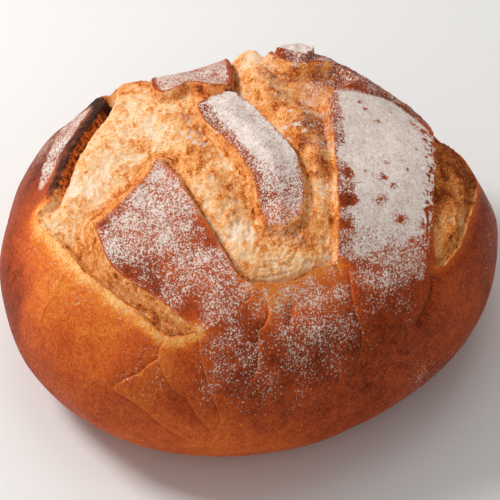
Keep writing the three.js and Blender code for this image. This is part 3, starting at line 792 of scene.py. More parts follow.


# (u, v, radius, value): how dark the crust is baked, 0 pale and 1 nearly black, and painted shade at the
# left
bakeAndShadeTones = [
    (-88, -45, 16, 0.24), (-104, -30, 14, 0.36), (-100, -62, 14, 0.36), (-69, -80, 12, 0.34),
    # The darkest entries far out at the left, from (-134, -50) to (-117, -47), are painted shade on the left
    # side
    (-44, -100, 10, 0.44), (-120, -16, 12, 0.75), (-134, -18, 14, 0.92), (-134, -50, 14, 0.94),
    (-117, -47, 11, 0.84), (-124, -34, 9, 0.9), (-112, -78, 16, 0.52), (-85, -98, 16, 0.5),
    (-102, -108, 18, 0.58), (-70, -118, 16, 0.55), (-50, -132, 18, 0.51), (-33, -106, 10, 0.54),
    (-28, -120, 14, 0.66), (-28, -148, 18, 0.45), (0, -106, 16, 0.82), (10, -128, 18, 0.77),
    (36, -110, 18, 0.82), (45, -130, 20, 0.73), (68, -94, 18, 0.8), (75, -125, 24, 0.75),
    (95, -80, 14, 0.76), (112, -60, 18, 0.62), (125, -85, 30, 0.74), (125, -20, 22, 0.77),
    (130, 20, 22, 0.8), (28, -80, 8, 0.48), (40, -70, 7, 0.46), (11, -83, 9, 0.34), (-45, -30, 20, 0.74),
    (-64, -37, 6, 0.86), (-59, -48, 6, 0.92), (-51, -58, 6, 0.92), (-42, -69, 6, 0.88),
    (-30, -60, 20, 0.71), (-10, -85, 12, 0.7), (60, 0, 25, 0.84), (70, -60, 14, 0.76), (44, -20, 10, 0.84),
    (44, 20, 10, 0.84), (45, -46, 8, 0.76), (2, 4, 9, 0.86), (12, -18, 9, 0.84), (-8, 24, 9, 0.86),
    (17, -36, 6, 0.6), (15, 10, 12, 0.86), (-15, 38, 10, 0.86), (70, 75, 20, 0.88), (45, 92, 16, 0.82),
    (20, 81, 6, 0.8), (30, 82, 6, 0.84), (26, 96, 8, 0.76), (-30, 72, 14, 0.82), (-100, 30, 10, 0.88),
    (-95, 60, 14, 0.88), (-120, 30, 20, 0.88), (0, 150, 40, 0.66), (-70, 130, 30, 0.66),
    (90, 120, 40, 0.74), (-142, 10, 26, 0.72), (-145, -40, 24, 0.66), (-140, -90, 24, 0.66),
    (-160, 0, 24, 0.6), (0, -180, 40, 0.46), (-80, -170, 30, 0.52), (80, -170, 30, 0.58),
    (140, -130, 40, 0.72), (0, 190, 60, 0.6),
]
# how toasted the torn crumb is, 0 is cream and 1 brown, and painted shade in the right opening
toastAndShadeTones = [
    (-70, 22, 16, 0.31), (-66, 50, 14, 0.36), (-82, 2, 12, 0.33), (-50, 32, 10, 0.34), (-44, 44, 8, 0.5),
    (-40, 52, 8, 0.5), (-56, 62, 8, 0.42), (-60, 92, 14, 0.66), (-72, 90, 10, 0.5), (-92, -16, 8, 0.26),
    (-80, -22, 8, 0.34), (-88, -30, 8, 0.46), (-76, -42, 8, 0.7), (-62, -62, 9, 0.74), (-42, -84, 9, 0.6),
    (-34, 26, 8, 0.52), (-46, 10, 8, 0.42), (-30, 8, 8, 0.5), (-20, 14, 8, 0.52), (-22, 0, 7, 0.47),
    (-14, -20, 8, 0.41), (-4, -20, 6, 0.5), (-6, -40, 9, 0.24), (6, -58, 10, 0.4), (26, -58, 10, 0.44),
    (30, -46, 7, 0.56), (3, 98, 10, 0.4), (-3, 72, 8, 0.46), (8, 62, 8, 0.56), (16, 48, 8, 0.66),
    (20, 72, 10, 0.62), (34, 66, 8, 0.8), (48, 68, 9, 1.05), (40, 76, 7, 1.0), (56, 71, 6, 1.2),
    (26, 74, 6, 0.8), (-30, 53, 5, 0.5), (-38, 48, 4, 0.5), (8, -40, 3, 1.0), (22, -50, 6, 0.68),
    (16, -47, 5, 0.62), (28, -42, 4, 0.4), (30, 84, 6, 0.9), (36, 72, 6, 0.85), (24, 74, 3, 0.3),
    (28, 38, 10, 0.72), (26, 18, 8, 0.8), (34, 16, 7, 0.8), (30, -4, 7, 0.76), (36, 0, 5, 0.62),
    # (106, 52) and (105, 24): the right opening darkest at its top, toasted and painted shade from the
    # strip's edge
    (33, -22, 7, 0.54), (28, -30, 6, 0.5), (38, -46, 7, 0.56), (106, 52, 14, 1.25), (105, 24, 12, 1.1),
    (99, 0, 10, 0.9), (97, -24, 9, 0.7), (94, -38, 8, 0.66), (-24, 50, 8, 0.7), (-46, 48, 4, 0.3),
    (-42, 45, 4, 0.34),
]
baking = {
    "plainBake": 0.62,  # away from every entry above
    "plainToast": 0.45,
    "clouds": [(0.05, 26, 3), (0.035, 7, 2)],  # strength, length and layers of the uneven baking
    "toastClouds": [(0.15, 17, 3), (0.06, 5, 2)],
    "standingOut": 0.2,  # what stands out of the crumb is toasted more
    "wallTone": 0.62,  # the torn walls are evenly golden
    "wallShare": 0.8,
    "steepWall": 3.4,  # walls narrower than this are toasted less, mm
    "flapExtra": 2.5,  # the golden wall above the flap reaches further, mm
    "paleTone": 0.06,
    "paleShare": 0.85,
    "paleWidth": 4.0,
    "rimTone": 0.22,
    "lipReach": 3.0,  # how far the lip is burnt in from its edge
    "lipSoft": 5,
}
# (edge, strength, width) of the golden line where the crust ends
goldenRims = [
    ("lowerRim", 0.72, 5.6), ("flapLowerEdge", 0.2, 1.0), ("flapUpperEdge", 0.25, 1.2),
    ("stripLeftEdge", 0.3, 0.7), ("islandLeftEdge", 0.3, 0.8), ("outerRim", 0.5, 3.0),
    ("stripRightEdge", 0.2, 1.2), ("flapRightEdge", 0.35, 1.0),
]
# (edge, strength) of the thin dark line painted as shade where the crumb goes in under the crust
seamShadeLines = [("lowerRim", 0.95), ("flapRightEdge", 0.95), ("paleRim", 0.5), ("islandRightEdge", 0.4),
             ("plateFrontEdge", 0.3), ("outerRim", 0.5)]
# (edge, strength) of the edges at the back that are scorched a little, and painted shade at their walls'
# foot
scorchedAndShadedEdges = [("plateRightEdge", 0.3), ("plateLeftEdge", 0.15), ("backLeftTip", 0.3)]


def clouded(tone, layers, seed):
    for i, (strength, length, count) in enumerate(layers):
        tone = tone + strength * uneven(length, seed + 10 * i, count)
    return tone


def crustTones():
    tone = clouded(fadeTo(baking["plainBake"], bakeAndShadeTones), baking["clouds"], 601) - shadeStep
    # the pale, soft band just outside the lower left rim of the field
    rim = edgeNamed("paleRim")
    band = np.where(torn, 0.6, 1) * bump(rim["distance"] - 1.2, baking["paleWidth"] + 1.2 * uneven(9, 651))
    band *= smooth(rim["along"] * 12 + 0.3)
    tone = blend(tone, baking["paleTone"], baking["paleShare"] * band)
    for name, strength, width in goldenRims:
        tone = blend(tone, baking["rimTone"], strength * bump(edgeNamed(name)["distance"], width))
    return tone


def crumbTones():
    tone = clouded(fadeTo(baking["plainToast"], toastAndShadeTones), baking["toastClouds"], 621)
    tone += baking["standingOut"] * np.clip(folds + 0.5 * grain, -0.9, 1.2)
    heat = np.zeros(len(u))
    for side in seen:
        if side["name"] != "backRim":
            width = side["flank"] + (baking["flapExtra"] if side["name"] == "flapUpperEdge" else 0)
            share = side["distance"] / width - 0.8 + 0.25 * uneven(4.5, 635)
            most = np.where(side["flank"] > baking["steepWall"], 1, 0.4)
            heat = np.maximum(heat, most * (1 - smooth(share / 0.35)))
    return blend(tone, baking["wallTone"], baking["wallShare"] * heat) + 0.2 * streaks * streakWeight


# Painted shade in the gap at the foot of each listed torn wall
def seamShadeTones():
    seamShade = np.zeros(len(u))
    for name, strength in seamShadeLines:
        side = edgeNamed(name)
        part = bump(side["distance"] - side["flank"] * 0.8, 0.7) * (0.75 + 0.6 * uneven(5, 655))
        seamShade = np.maximum(seamShade, np.where(torn, strength * part, 0))
    return seamShade


# The lip at the left is burnt black along its edge.
# The upper end of the torn wall beside it is painted black as shade.
def burntAndShadeTones():
    lip = edgeNamed("burntLip")
    reach = baking["lipReach"] + 1.2 * smooth((v - 10) / 30) + 1.6 * uneven(4, 641, 3)
    band = 1 - smooth((lip["distance"] - reach) / baking["lipSoft"])
    # painted shade: the torn wall beside the lip darkens towards its upper end
    below = (0.2 + 0.8 * smooth((v - 44) / 10)) * (1 - smooth(lip["distance"] / 4))
    band = np.where(torn, below, band) * smooth(lip["along"] * 9 + 0.5) * smooth((1.02 - lip["along"]) * 9)
    tone = band * (0.7 + 0.25 * smooth((v - 20) / 40) + 0.5 * uneven(3.5, 645, 2))
    # the edges at the back: a little scorched, and painted shade at the foot of their walls
    for name, strength in scorchedAndShadedEdges:
        side = edgeNamed(name)
        inside = np.where(torn, side["flank"] * 0.9, 0)
        tone = np.maximum(tone, strength * bump(side["distance"] - inside, 1.4))
    return tone


# 1 where the crumb's finish shows. The island's lower end runs out into the crumb without an edge, and so
# does the back of the field.
def tornTones():
    foot = edgeNamed("islandFoot")["distance"]
    out = smooth(0.62 + np.where(onIsland, -foot, foot) / 9 + 0.3 * uneven(5, 661, 3))
    tone = np.where(bump(foot, 7) > 0.3, np.minimum(np.where(torn, 1, out), out), np.where(torn, 1.0, 0.0))
    back = np.hypot((u - 55) * 0.8, v - 71) - 6 + 3 * uneven(6, 665)
    return np.minimum(tone, smooth(back / 6))


bakeAndShade, toastAndShade, seamShade, burntAndShade, tornTone = crustTones(), crumbTones(), seamShadeTones(), burntAndShadeTones(), tornTones()

# Flour: (u, v, radius, amount) dustings on the closed crust
dustings = [
    (-54, -33, 9, 0.72), (-48, -22, 8, 0.8), (-42, -10, 7, 0.78), (-40, -30, 11, 0.66), (-32, -18, 8, 0.62),
    (-28, -38, 9, 0.62), (-38, -46, 10, 0.62), (-50, -46, 8, 0.52), (-22, -56, 9, 0.64),
    (-32, -58, 9, 0.56), (-44, -60, 8, 0.42), (-14, -70, 9, 0.57), (-26, -70, 9, 0.46), (-38, -72, 7, 0.36),
    (-10, -84, 9, 0.48), (-22, -84, 8, 0.4), (-4, -76, 7, 0.5), (4, -84, 8, 0.42), (-6, -96, 9, 0.44),
    (-16, -100, 8, 0.42), (-14, -112, 10, 0.4), (2, -106, 10, 0.45), (-20, -120, 9, 0.34),
    (0, -124, 14, 0.3), (30, -118, 16, 0.3), (60, -98, 16, 0.18), (-60, -75, 10, 0.14),
    (-80, -66, 12, 0.18), (-96, -58, 12, 0.2), (-50, -108, 18, 0.25), (-110, -60, 16, 0.14),
    (8, -78, 5, 0.5), (18, -77, 5, 0.52), (30, -72, 5, 0.5), (40, -66, 5, 0.46), (-99, -20, 8, 0.26),
    (-87, -38, 9, 0.26), (-93, -46, 12, 0.23), (-106, -32, 12, 0.2), (-76, -62, 10, 0.26),
    (-70, -58, 8, 0.28), (-55, -75, 8, 0.34), (-38, -92, 5, 0.34), (92, 60, 8, 0.52), (75, 70, 11, 0.56),
    (62, 66, 8, 0.54), (54, 70, 7, 0.5), (16, -84, 7, 0.52), (26, -78, 7, 0.6), (20, -96, 10, 0.47),
    (34, -80, 8, 0.56), (32, -94, 11, 0.5), (26, -106, 11, 0.44), (44, -74, 7, 0.5), (46, -90, 12, 0.46),
    (58, -64, 7, 0.62), (66, -62, 7, 0.66), (74, -58, 6, 0.56), (62, -76, 9, 0.36), (44, -106, 12, 0.36),
    (78, -72, 9, 0.36), (10, -118, 12, 0.36), (-56, -88, 9, 0.12), (60, 80, 14, 0.5), (84, 66, 12, 0.44),
    (50, 90, 12, 0.4), (126, 12, 8, 0.4), (122, -20, 10, 0.26), (112, -104, 18, 0.3), (128, -92, 14, 0.26),
    (95, -118, 14, 0.2), (-112, 52, 14, 0.4), (-122, 36, 12, 0.28), (-60, 125, 26, 0.3), (10, 150, 30, 0.3),
    (80, 110, 26, 0.34), (88, -46, 6, 0.3), (-32, 116, 18, 0.42), (30, 118, 17, 0.4), (-108, 44, 14, 0.42),
    (60, 112, 20, 0.34), (-84, 100, 18, 0.26), (24, 81, 7, 0.62), (38, 84, 8, 0.6),
]
# the same on the torn crumb
crumbDustings = [
    (32, 24, 14, 0.38), (20, 50, 14, 0.34), (36, 52, 12, 0.4), (-34, 56, 10, 0.28), (-50, 58, 9, 0.26),
    (28, -14, 9, 0.22), (33, 10, 10, 0.46), (34, -14, 9, 0.46), (30, 48, 7, 0.5), (34, 36, 6, 0.5),
    (48, 66, 8, 0.5), (52, 74, 8, 0.5), (29, 26, 6, 0.42), (36, 18, 5, 0.4), (24, 58, 8, 0.36),
    (40, 70, 12, 0.42), (46, 76, 9, 0.42), (12, 82, 8, 0.3), (-30, 30, 7, 0.42), (-26, 20, 6, 0.4),
    (-34, 44, 7, 0.34), (-46, 62, 8, 0.3), (-62, 84, 10, 0.3), (34, -28, 5, 0.36), (36, -48, 6, 0.4),
    (20, -66, 6, 0.24), (-14, 2, 5, 0.2), (30, -8, 7, 0.3), (-8, -12, 6, 0.16), (16, 40, 7, 0.25),
    (14, -44, 7, 0.42), (23, -49, 6, 0.42), (38, -56, 3, 0.45), (26, 86, 5, 0.6), (28, -36, 5, 0.4),
    (28, -25, 5, 0.4), (34, 90, 8, 0.5), (6, 92, 16, 0.42), (12, 66, 12, 0.4), (32, 62, 12, 0.46),
    (0, 112, 10, 0.4), (8, 78, 9, 0.4),
]
# (u, v, radius) of small heaps of flour in the hollows of the crumb
flourHeaps = [
    (20, 33, 1.8), (22, 22, 2.4), (28, 35, 2.2), (29, 24, 1.3), (17, 22, 1.4), (25, 17, 1.2), (13, 48, 1.1),
    (26, 40, 1.3), (18, 15, 1.1), (25, -13, 1.0), (-32, 20, 1.2), (-29, 16, 1.4), (-26, 13, 1.7),
    (-22, 11, 1.6), (-14, 4, 1.1), (-17, -12, 1.2), (-38, 37, 1.0), (-15, 17, 0.9), (24, 75.5, 1.8),
    (28, 76.5, 1.4), (39, -56, 1.2), (9, -74, 1.4), (14, -78, 1.2),
]
# (u, v, radius, amount) of places knocked bare of flour
bareSpots = [
    (44, -6, 3, 0.4), (45.5, -23, 3.5, 0.7), (60, -4, 2, 0.5), (59, -20, 3, 0.5), (70, -27, 3.5, 0.6),
    (45, -38, 3, 0.4), (79, 40, 3, 0.4), (55, 48, 2, 0.5), (60, 33, 1.6, 0.4), (68, 6, 1.6, 0.5),
    (-65, -32, 3, 0.4), (-59, -26, 3, 0.2), (-17, -47, 5, 0.35), (-20, -38, 4, 0.3), (-54, -59, 4, 0.3),
    (-28, -83, 5, 0.35), (-44, -68, 4, 0.3), (53, 46, 1.5, 0.6), (55, 41, 1.6, 0.7), (59, 33, 1.9, 0.6),
    (68, 45, 1.2, 0.6), (79, 55, 3.4, 0.6), (78, 43, 2.4, 0.5), (82, 36, 2.8, 0.6), (81, 26, 2, 0.5),
    (84, 16, 2.6, 0.6), (76, 16, 1.4, 0.5), (83, 5, 2, 0.5), (61, 4, 1.5, 0.6), (60, -6, 1.8, 0.6),
    (65, -9, 2, 0.6), (51, -3, 1.2, 0.5), (61, -17, 2.2, 0.5), (71, 2, 1.3, 0.5), (85, 46, 3.4, 0.5),
    (52, 4, 1.0, 0.5),
]
# Where the flour lies thick: how soft and how ragged its edge is, the noise's seed, and the outline
thickFlour = {
    "strip": (3.2, 1.3, 701, [
        (43, 53), (53, 56), (61, 57), (72, 58), (80, 54), (85, 42), (86, 30), (85, 6), (84, -10), (83, -30),
        (77, -35), (74, -42), (65, -44), (59, -51), (51, -54), (50, -46), (48, -34), (46, -28), (49.5, -23),
        (47.5, -17), (47, -9), (44, -2), (39, 2), (39.5, 8), (42, 14), (43, 30), (43, 43)]),
    "island": (3.2, 1.2, 711, [
        (-22, 37), (-17, 44), (-10, 48), (-2, 44), (5.5, 34), (11, 24), (17, 13), (19, 7), (21.5, 0),
        (24, -10), (26, -19), (26, -27), (24, -35), (18, -37), (13, -37), (10, -31), (7, -20), (5, -12),
        (3, -5), (-2, 5), (-8, 14), (-12, 21), (-16, 29), (-20, 34)]),
    "plate": (2.4, 1.0, 721, [
        (-42, 51), (-36, 53), (-30, 58), (-26, 56), (-20, 54), (-11, 53), (-11, 72), (-13, 104), (-20, 118),
        (-50, 106), (-46, 66)]),
    "peak": (2.0, 0.8, 731, [
        (13, 88), (19, 85), (25, 84), (30, 85), (33, 89), (34, 106), (24, 116), (14, 110)]),
    "lip": (4.5, 1.5, 741, [
        (-81, 66), (-82, 50), (-85, 36), (-90, 22), (-95, 8), (-101, 3), (-104, 8), (-103, 20), (-101, 34),
        (-99, 50), (-97, 68)]),
}
flapOutline = [(-69, -32), (-57, -23), (-47, -12), (-42, -1), (-28, -22), (-12, -55), (1, -73), (-8, -84),
               (-24, -92), (-39, -75), (-52, -64), (-62, -52), (-69, -32)]
flouring = {
    "spread": 1.35,  # of a dusting, against its radius
    "crumbSpread": 1.2,
    "heap": 0.7,
    "thinnest": 0.05,
    "thinnestOnCrumb": 0.06,
    "underStrip": 0.56,
    "scuffed": 1.1,  # streaks in the flour beside the opening at the right
    "edgeLoss": 0.22,
}


def dusted(flour, entries, spread):
    for x, y, radius, amount in entries:
        flour = np.maximum(flour, amount * spot(x, y, radius * spread))
    return flour


def solidFlour(soft, ragged, seed, line):
    outline = smoothLine(line + line[:1], 1.5)[:-1]
    distance = nearestOn(np.vstack([outline, outline[:1]]), allPlaces, 25)[0]
    inside = np.where(isInside(outline, allPlaces), distance, -distance)
    inside += ragged * (uneven(7, seed, 3) + 0.6 * uneven(2.2, seed + 5))
    return smooth(0.5 + inside / soft)


def crustFlour():
    onFlap = isInside(smoothLine(flapOutline, 2), allPlaces)
    flapAmount = 0.55 + 0.12 * uneven(12, 761) - 0.08 * smooth((-44 - v) / 20)
    flour = dusted(np.where(onFlap, flapAmount, 0.0), dustings, flouring["spread"])
    amounts = {
        "strip": 1.12 - (0.34 * smooth((-14 - v) / 30) + 0.08 * spot(60, -8, 12)),
        "island": 0.93 + 0.14 * uneven(6, 715) - 0.36 * smooth((4 - v) / 30),
        "plate": (0.6 + 0.14 * uneven(9, 725)) * (1 - 0.6 * smooth((v - 84) / 34)),
        "peak": 0.95 - 0.3 * smooth((v - 90) / 24),
        "lip": 0.62 + 0.16 * uneven(8, 745),
    }
    onStrip = smooth(0.5 + (u - 37) / 3) * smooth(0.5 + (58 - v) / 8)
    onStrip *= smooth((v + 62) / 8) * smooth((88 - u) / 4)
    thin = [onStrip * flouring["underStrip"],
            np.where(onIsland, 0.52 + 0.12 * smooth((u + 0.45 * v - 2) / 8), 0)]
    thick = [solidFlour(*area) * amounts[name] for name, area in thickFlour.items()]
    flour = np.max([flour, *thin, *thick], axis=0)
    flour -= spots(bareSpots) * (1.1 + 0.9 * uneven(2.4, 757))
    scuffs = bump(edgeNamed("stripRightEdge")["distance"] - 2.4, 2.8)
    flour -= flouring["scuffed"] * scuffs * smooth(0.3 + 1.6 * uneven(2.3, 759, by=(2.2, 0.8, 1.0)))
    return flour * (1 - flouring["edgeLoss"] * bump(edgeDistance, 1.2)) * (1 - smooth(burntAndShade * 1.1))


def crumbFlour():
    flour = dusted(np.zeros(len(u)), crumbDustings, flouring["crumbSpread"])
    ragged = 0.8 * uneven(1.8, 755)
    for x, y, radius in flourHeaps:
        heap = 1 - smooth((np.hypot(u - x, v - y) / radius - 0.6 + ragged) / 0.9)
        flour = np.maximum(flour, flouring["heap"] * heap)
    return flour


flour = np.where(torn, np.maximum(crumbFlour(), flouring["thinnestOnCrumb"]),
                 np.maximum(crustFlour(), flouring["thinnest"]))
flour = np.clip(flour + 0.07 * uneven(9, 751, 3), 0, 1)
print("tones done")


# ---- the loaf's mesh
def addObject(name, data):
    made = bpy.data.objects.new(name, data)
    bpy.context.scene.collection.objects.link(made)
    return made


unwrapping = {"crustWidth": 2.06, "underShare": 0.82, "underReach": 0.066, "underPlace": 0.072}


# An even unwrapping: the whole crust as a disc, and the underside as a small one in a corner
def unwrap(mesh):
    flatPlaces = np.zeros((len(allPoints), 2))
    flatPlaces[:len(u)] = 0.5 + allPlaces / (unwrapping["crustWidth"] * walkToFoot)
    loopVertex = np.zeros(len(mesh.loops), int)
    mesh.loops.foreach_get("vertex_index", loopVertex)
    loopPlace = flatPlaces[loopVertex]
    under = np.arange(len(mesh.loops)) >= len(topFaces) * 3
    corner = allPoints[loopVertex[under], :2] / (loafForm["meanRadius"] * unwrapping["underShare"])
    loopPlace[under] = corner * unwrapping["underReach"] * (1, -1) + unwrapping["underPlace"]
    mesh.uv_layers.new(name="OFBake").data.foreach_set("uv", loopPlace.astype(np.float32).ravel())


def buildLoaf():
    mesh = bpy.data.meshes.new("bakedLoaf")
    mesh.from_pydata((allPoints / 1000).tolist(), [], allFaces.tolist())
    mesh.validate()
    mesh.shade_smooth()
    # dark crack lines and crazing, with the painted shade of the seams and deep grooves
    darkLinesAndShade = np.maximum(-crackToneAndShade, np.maximum(seamShade, 0.8 * crazed * (1 - torn)))
    layers = {  # the values on the crust, and the one for the whole underside
        "torn": (tornTone, 0),
        "bakeAndShade": (bakeAndShade, 0.62),
        "toastAndShade": (toastAndShade, 0.5),
        "flour": (flour, 0.12),
        "burntAndShade": (burntAndShade, 0),
        "crevice": (inCrevice, 0),
        "crackLight": (np.maximum(crackToneAndShade, 0), 0),
        "darkLinesAndShade": (darkLinesAndShade, 0),
    }
    for name, (values, under) in layers.items():
        values = np.clip(np.concatenate([values, np.full(len(extra), under)]), 0, 1)
        mesh.attributes.new(name, "FLOAT", "POINT").data.foreach_set("value", values.astype(np.float32))
    unwrap(mesh)
    return addObject("bakedLoaf", mesh)


bakedLoaf = buildLoaf()
print("loaf built,", len(bakedLoaf.data.polygons), "faces")


# ---- shader helpers
def plug(tree, socket, value):
    if isinstance(value, Wire):
        tree.links.new(value.socket, socket)
    else:
        socket.default_value = value


class Wire:
    def __init__(self, tree, socket):
        self.tree, self.socket = tree, socket

    def maths(self, operation, *values, clamp=False):
        node = self.tree.nodes.new("ShaderNodeMath")
        node.operation, node.use_clamp = operation, clamp
        for socket, value in zip(node.inputs, values):
            plug(self.tree, socket, value)
        return Wire(self.tree, node.outputs[0])

    def __add__(self, other):
        return self.maths("ADD", self, other)

    def __sub__(self, other):
        return self.maths("SUBTRACT", self, other)

    def __rsub__(self, other):
        return self.maths("SUBTRACT", other, self)

    def __mul__(self, other):
        return self.maths("MULTIPLY", self, other)

    def __truediv__(self, other):
        return self.maths("DIVIDE", self, other)

    __radd__, __rmul__ = __add__, __mul__

    def absolute(self):
        return self.maths("ABSOLUTE", self)

    def clamped(self):
        return self.maths("ADD", self, 0.0, clamp=True)

    def above(self, edge, soft):  # 0 below the edge, 1 above it
        return self.maths("ADD", (self - edge) / soft, 0.5, clamp=True)

    def below(self, edge, soft):
        return self.above(edge, -soft)


def colour(red, green, blue):
    def linear(part):
        part /= 255
        return part / 12.92 if part <= 0.04045 else ((part + 0.055) / 1.055) ** 2.4
    return linear(red), linear(green), linear(blue), 1.0


class Finish:
    def __init__(self, name):
        self.material = bpy.data.materials.new(name)
        self.material.use_nodes = True
        self.tree = self.material.node_tree
        self.tree.nodes.clear()

    def node(self, kind, settings=None, sockets=None, output=0):
        node = self.tree.nodes.new(kind)
        for key, value in (settings or {}).items():
            setattr(node, key, value)
        for key, value in (sockets or {}).items():
            plug(self.tree, node.inputs[key], value)
        return Wire(self.tree, node.outputs[output])

    def mix(self, share, first, second):
        return self.node("ShaderNodeMix", {"data_type": "RGBA"}, {0: share, 6: first, 7: second}, output=2)

    def layer(self, name):
        return self.node("ShaderNodeAttribute", {"attribute_name": name}, output="Fac")

    def noise(self, place, length, detail=2.0, roughness=0.5, distortion=0.0):
        return self.node("ShaderNodeTexNoise", {"noise_dimensions": "3D"}, {
            "Vector": place, "Scale": 1000 / length, "Detail": detail, "Roughness": roughness,
            "Distortion": distortion})

    def vector(self, operation, place, by):
        return self.node("ShaderNodeVectorMath", {"operation": operation}, {0: place, 1: by})

    def grit(self, place, length, offset=0.0):  # a random value for every small grain
        moved = self.vector("ADD", place, (offset, offset, 0))
        return self.node("ShaderNodeTexVoronoi", {"feature": "F1"},
                         {"Vector": moved, "Scale": 1000 / length}, output="Color")

    def stretched(self, place, by):
        return self.vector("MULTIPLY", place, by)

    def ramp(self, value, stops):
        shades = self.node("ShaderNodeValToRGB", None, {"Fac": value})
        elements = shades.socket.node.color_ramp.elements
        while len(elements) < len(stops):
            elements.new(0.5)
        for element, (place, shade) in zip(elements, stops):
            element.position, element.color = place, shade
        return shades

    def surface(self, **sockets):
        named = {key.replace("_", " "): value for key, value in sockets.items()}
        shader = self.node("ShaderNodeBsdfPrincipled", None, named)
        end = self.tree.nodes.new("ShaderNodeOutputMaterial")
        plug(self.tree, end.inputs["Surface"], shader)
        return self.material


# ---- the loaf's finish
loafFinish = {
    "crust": [(0.0, colour(252, 202, 134)), (0.2, colour(239, 147, 58)), (0.42, colour(216, 102, 38)),
              (0.62, colour(184, 76, 30)), (0.8, colour(141, 54, 20)), (1.0, colour(70, 24, 9))],
    "crumb": [(0.0, colour(255, 229, 205)), (0.25, colour(251, 210, 163)), (0.5, colour(243, 167, 94)),
              (0.75, colour(213, 117, 50)), (1.0, colour(134, 60, 26))],
    "flour": colour(247, 237, 230),
    "flourShade": colour(220, 200, 189),
    "flourScuff": colour(112, 84, 72),
    "sparseFlour": colour(241, 220, 204),
    "thinFlour": colour(188, 132, 98),
    "burntAndShade": colour(54, 26, 15),
    "burntAndShadeBrown": colour(112, 52, 24),
    "crevice": colour(232, 124, 48),
    "creviceDark": colour(104, 45, 18),
    "crackLight": colour(244, 168, 90),
    "darkLinesAndShade": colour(62, 20, 9),
    "grainSize": 0.5,  # mm
    "coarseGrain": 0.8,
    "drawnOut": (1.2, 0.7, 1.0),  # how the crumb's texture is stretched, and then the flour's scuffs
    "scuffedAlong": (1.7, 0.8, 1.0),
    "reliefStrength": 0.75,
    "reliefDepth": 0.0007,  # metres
    "gloss": 0.1,
}


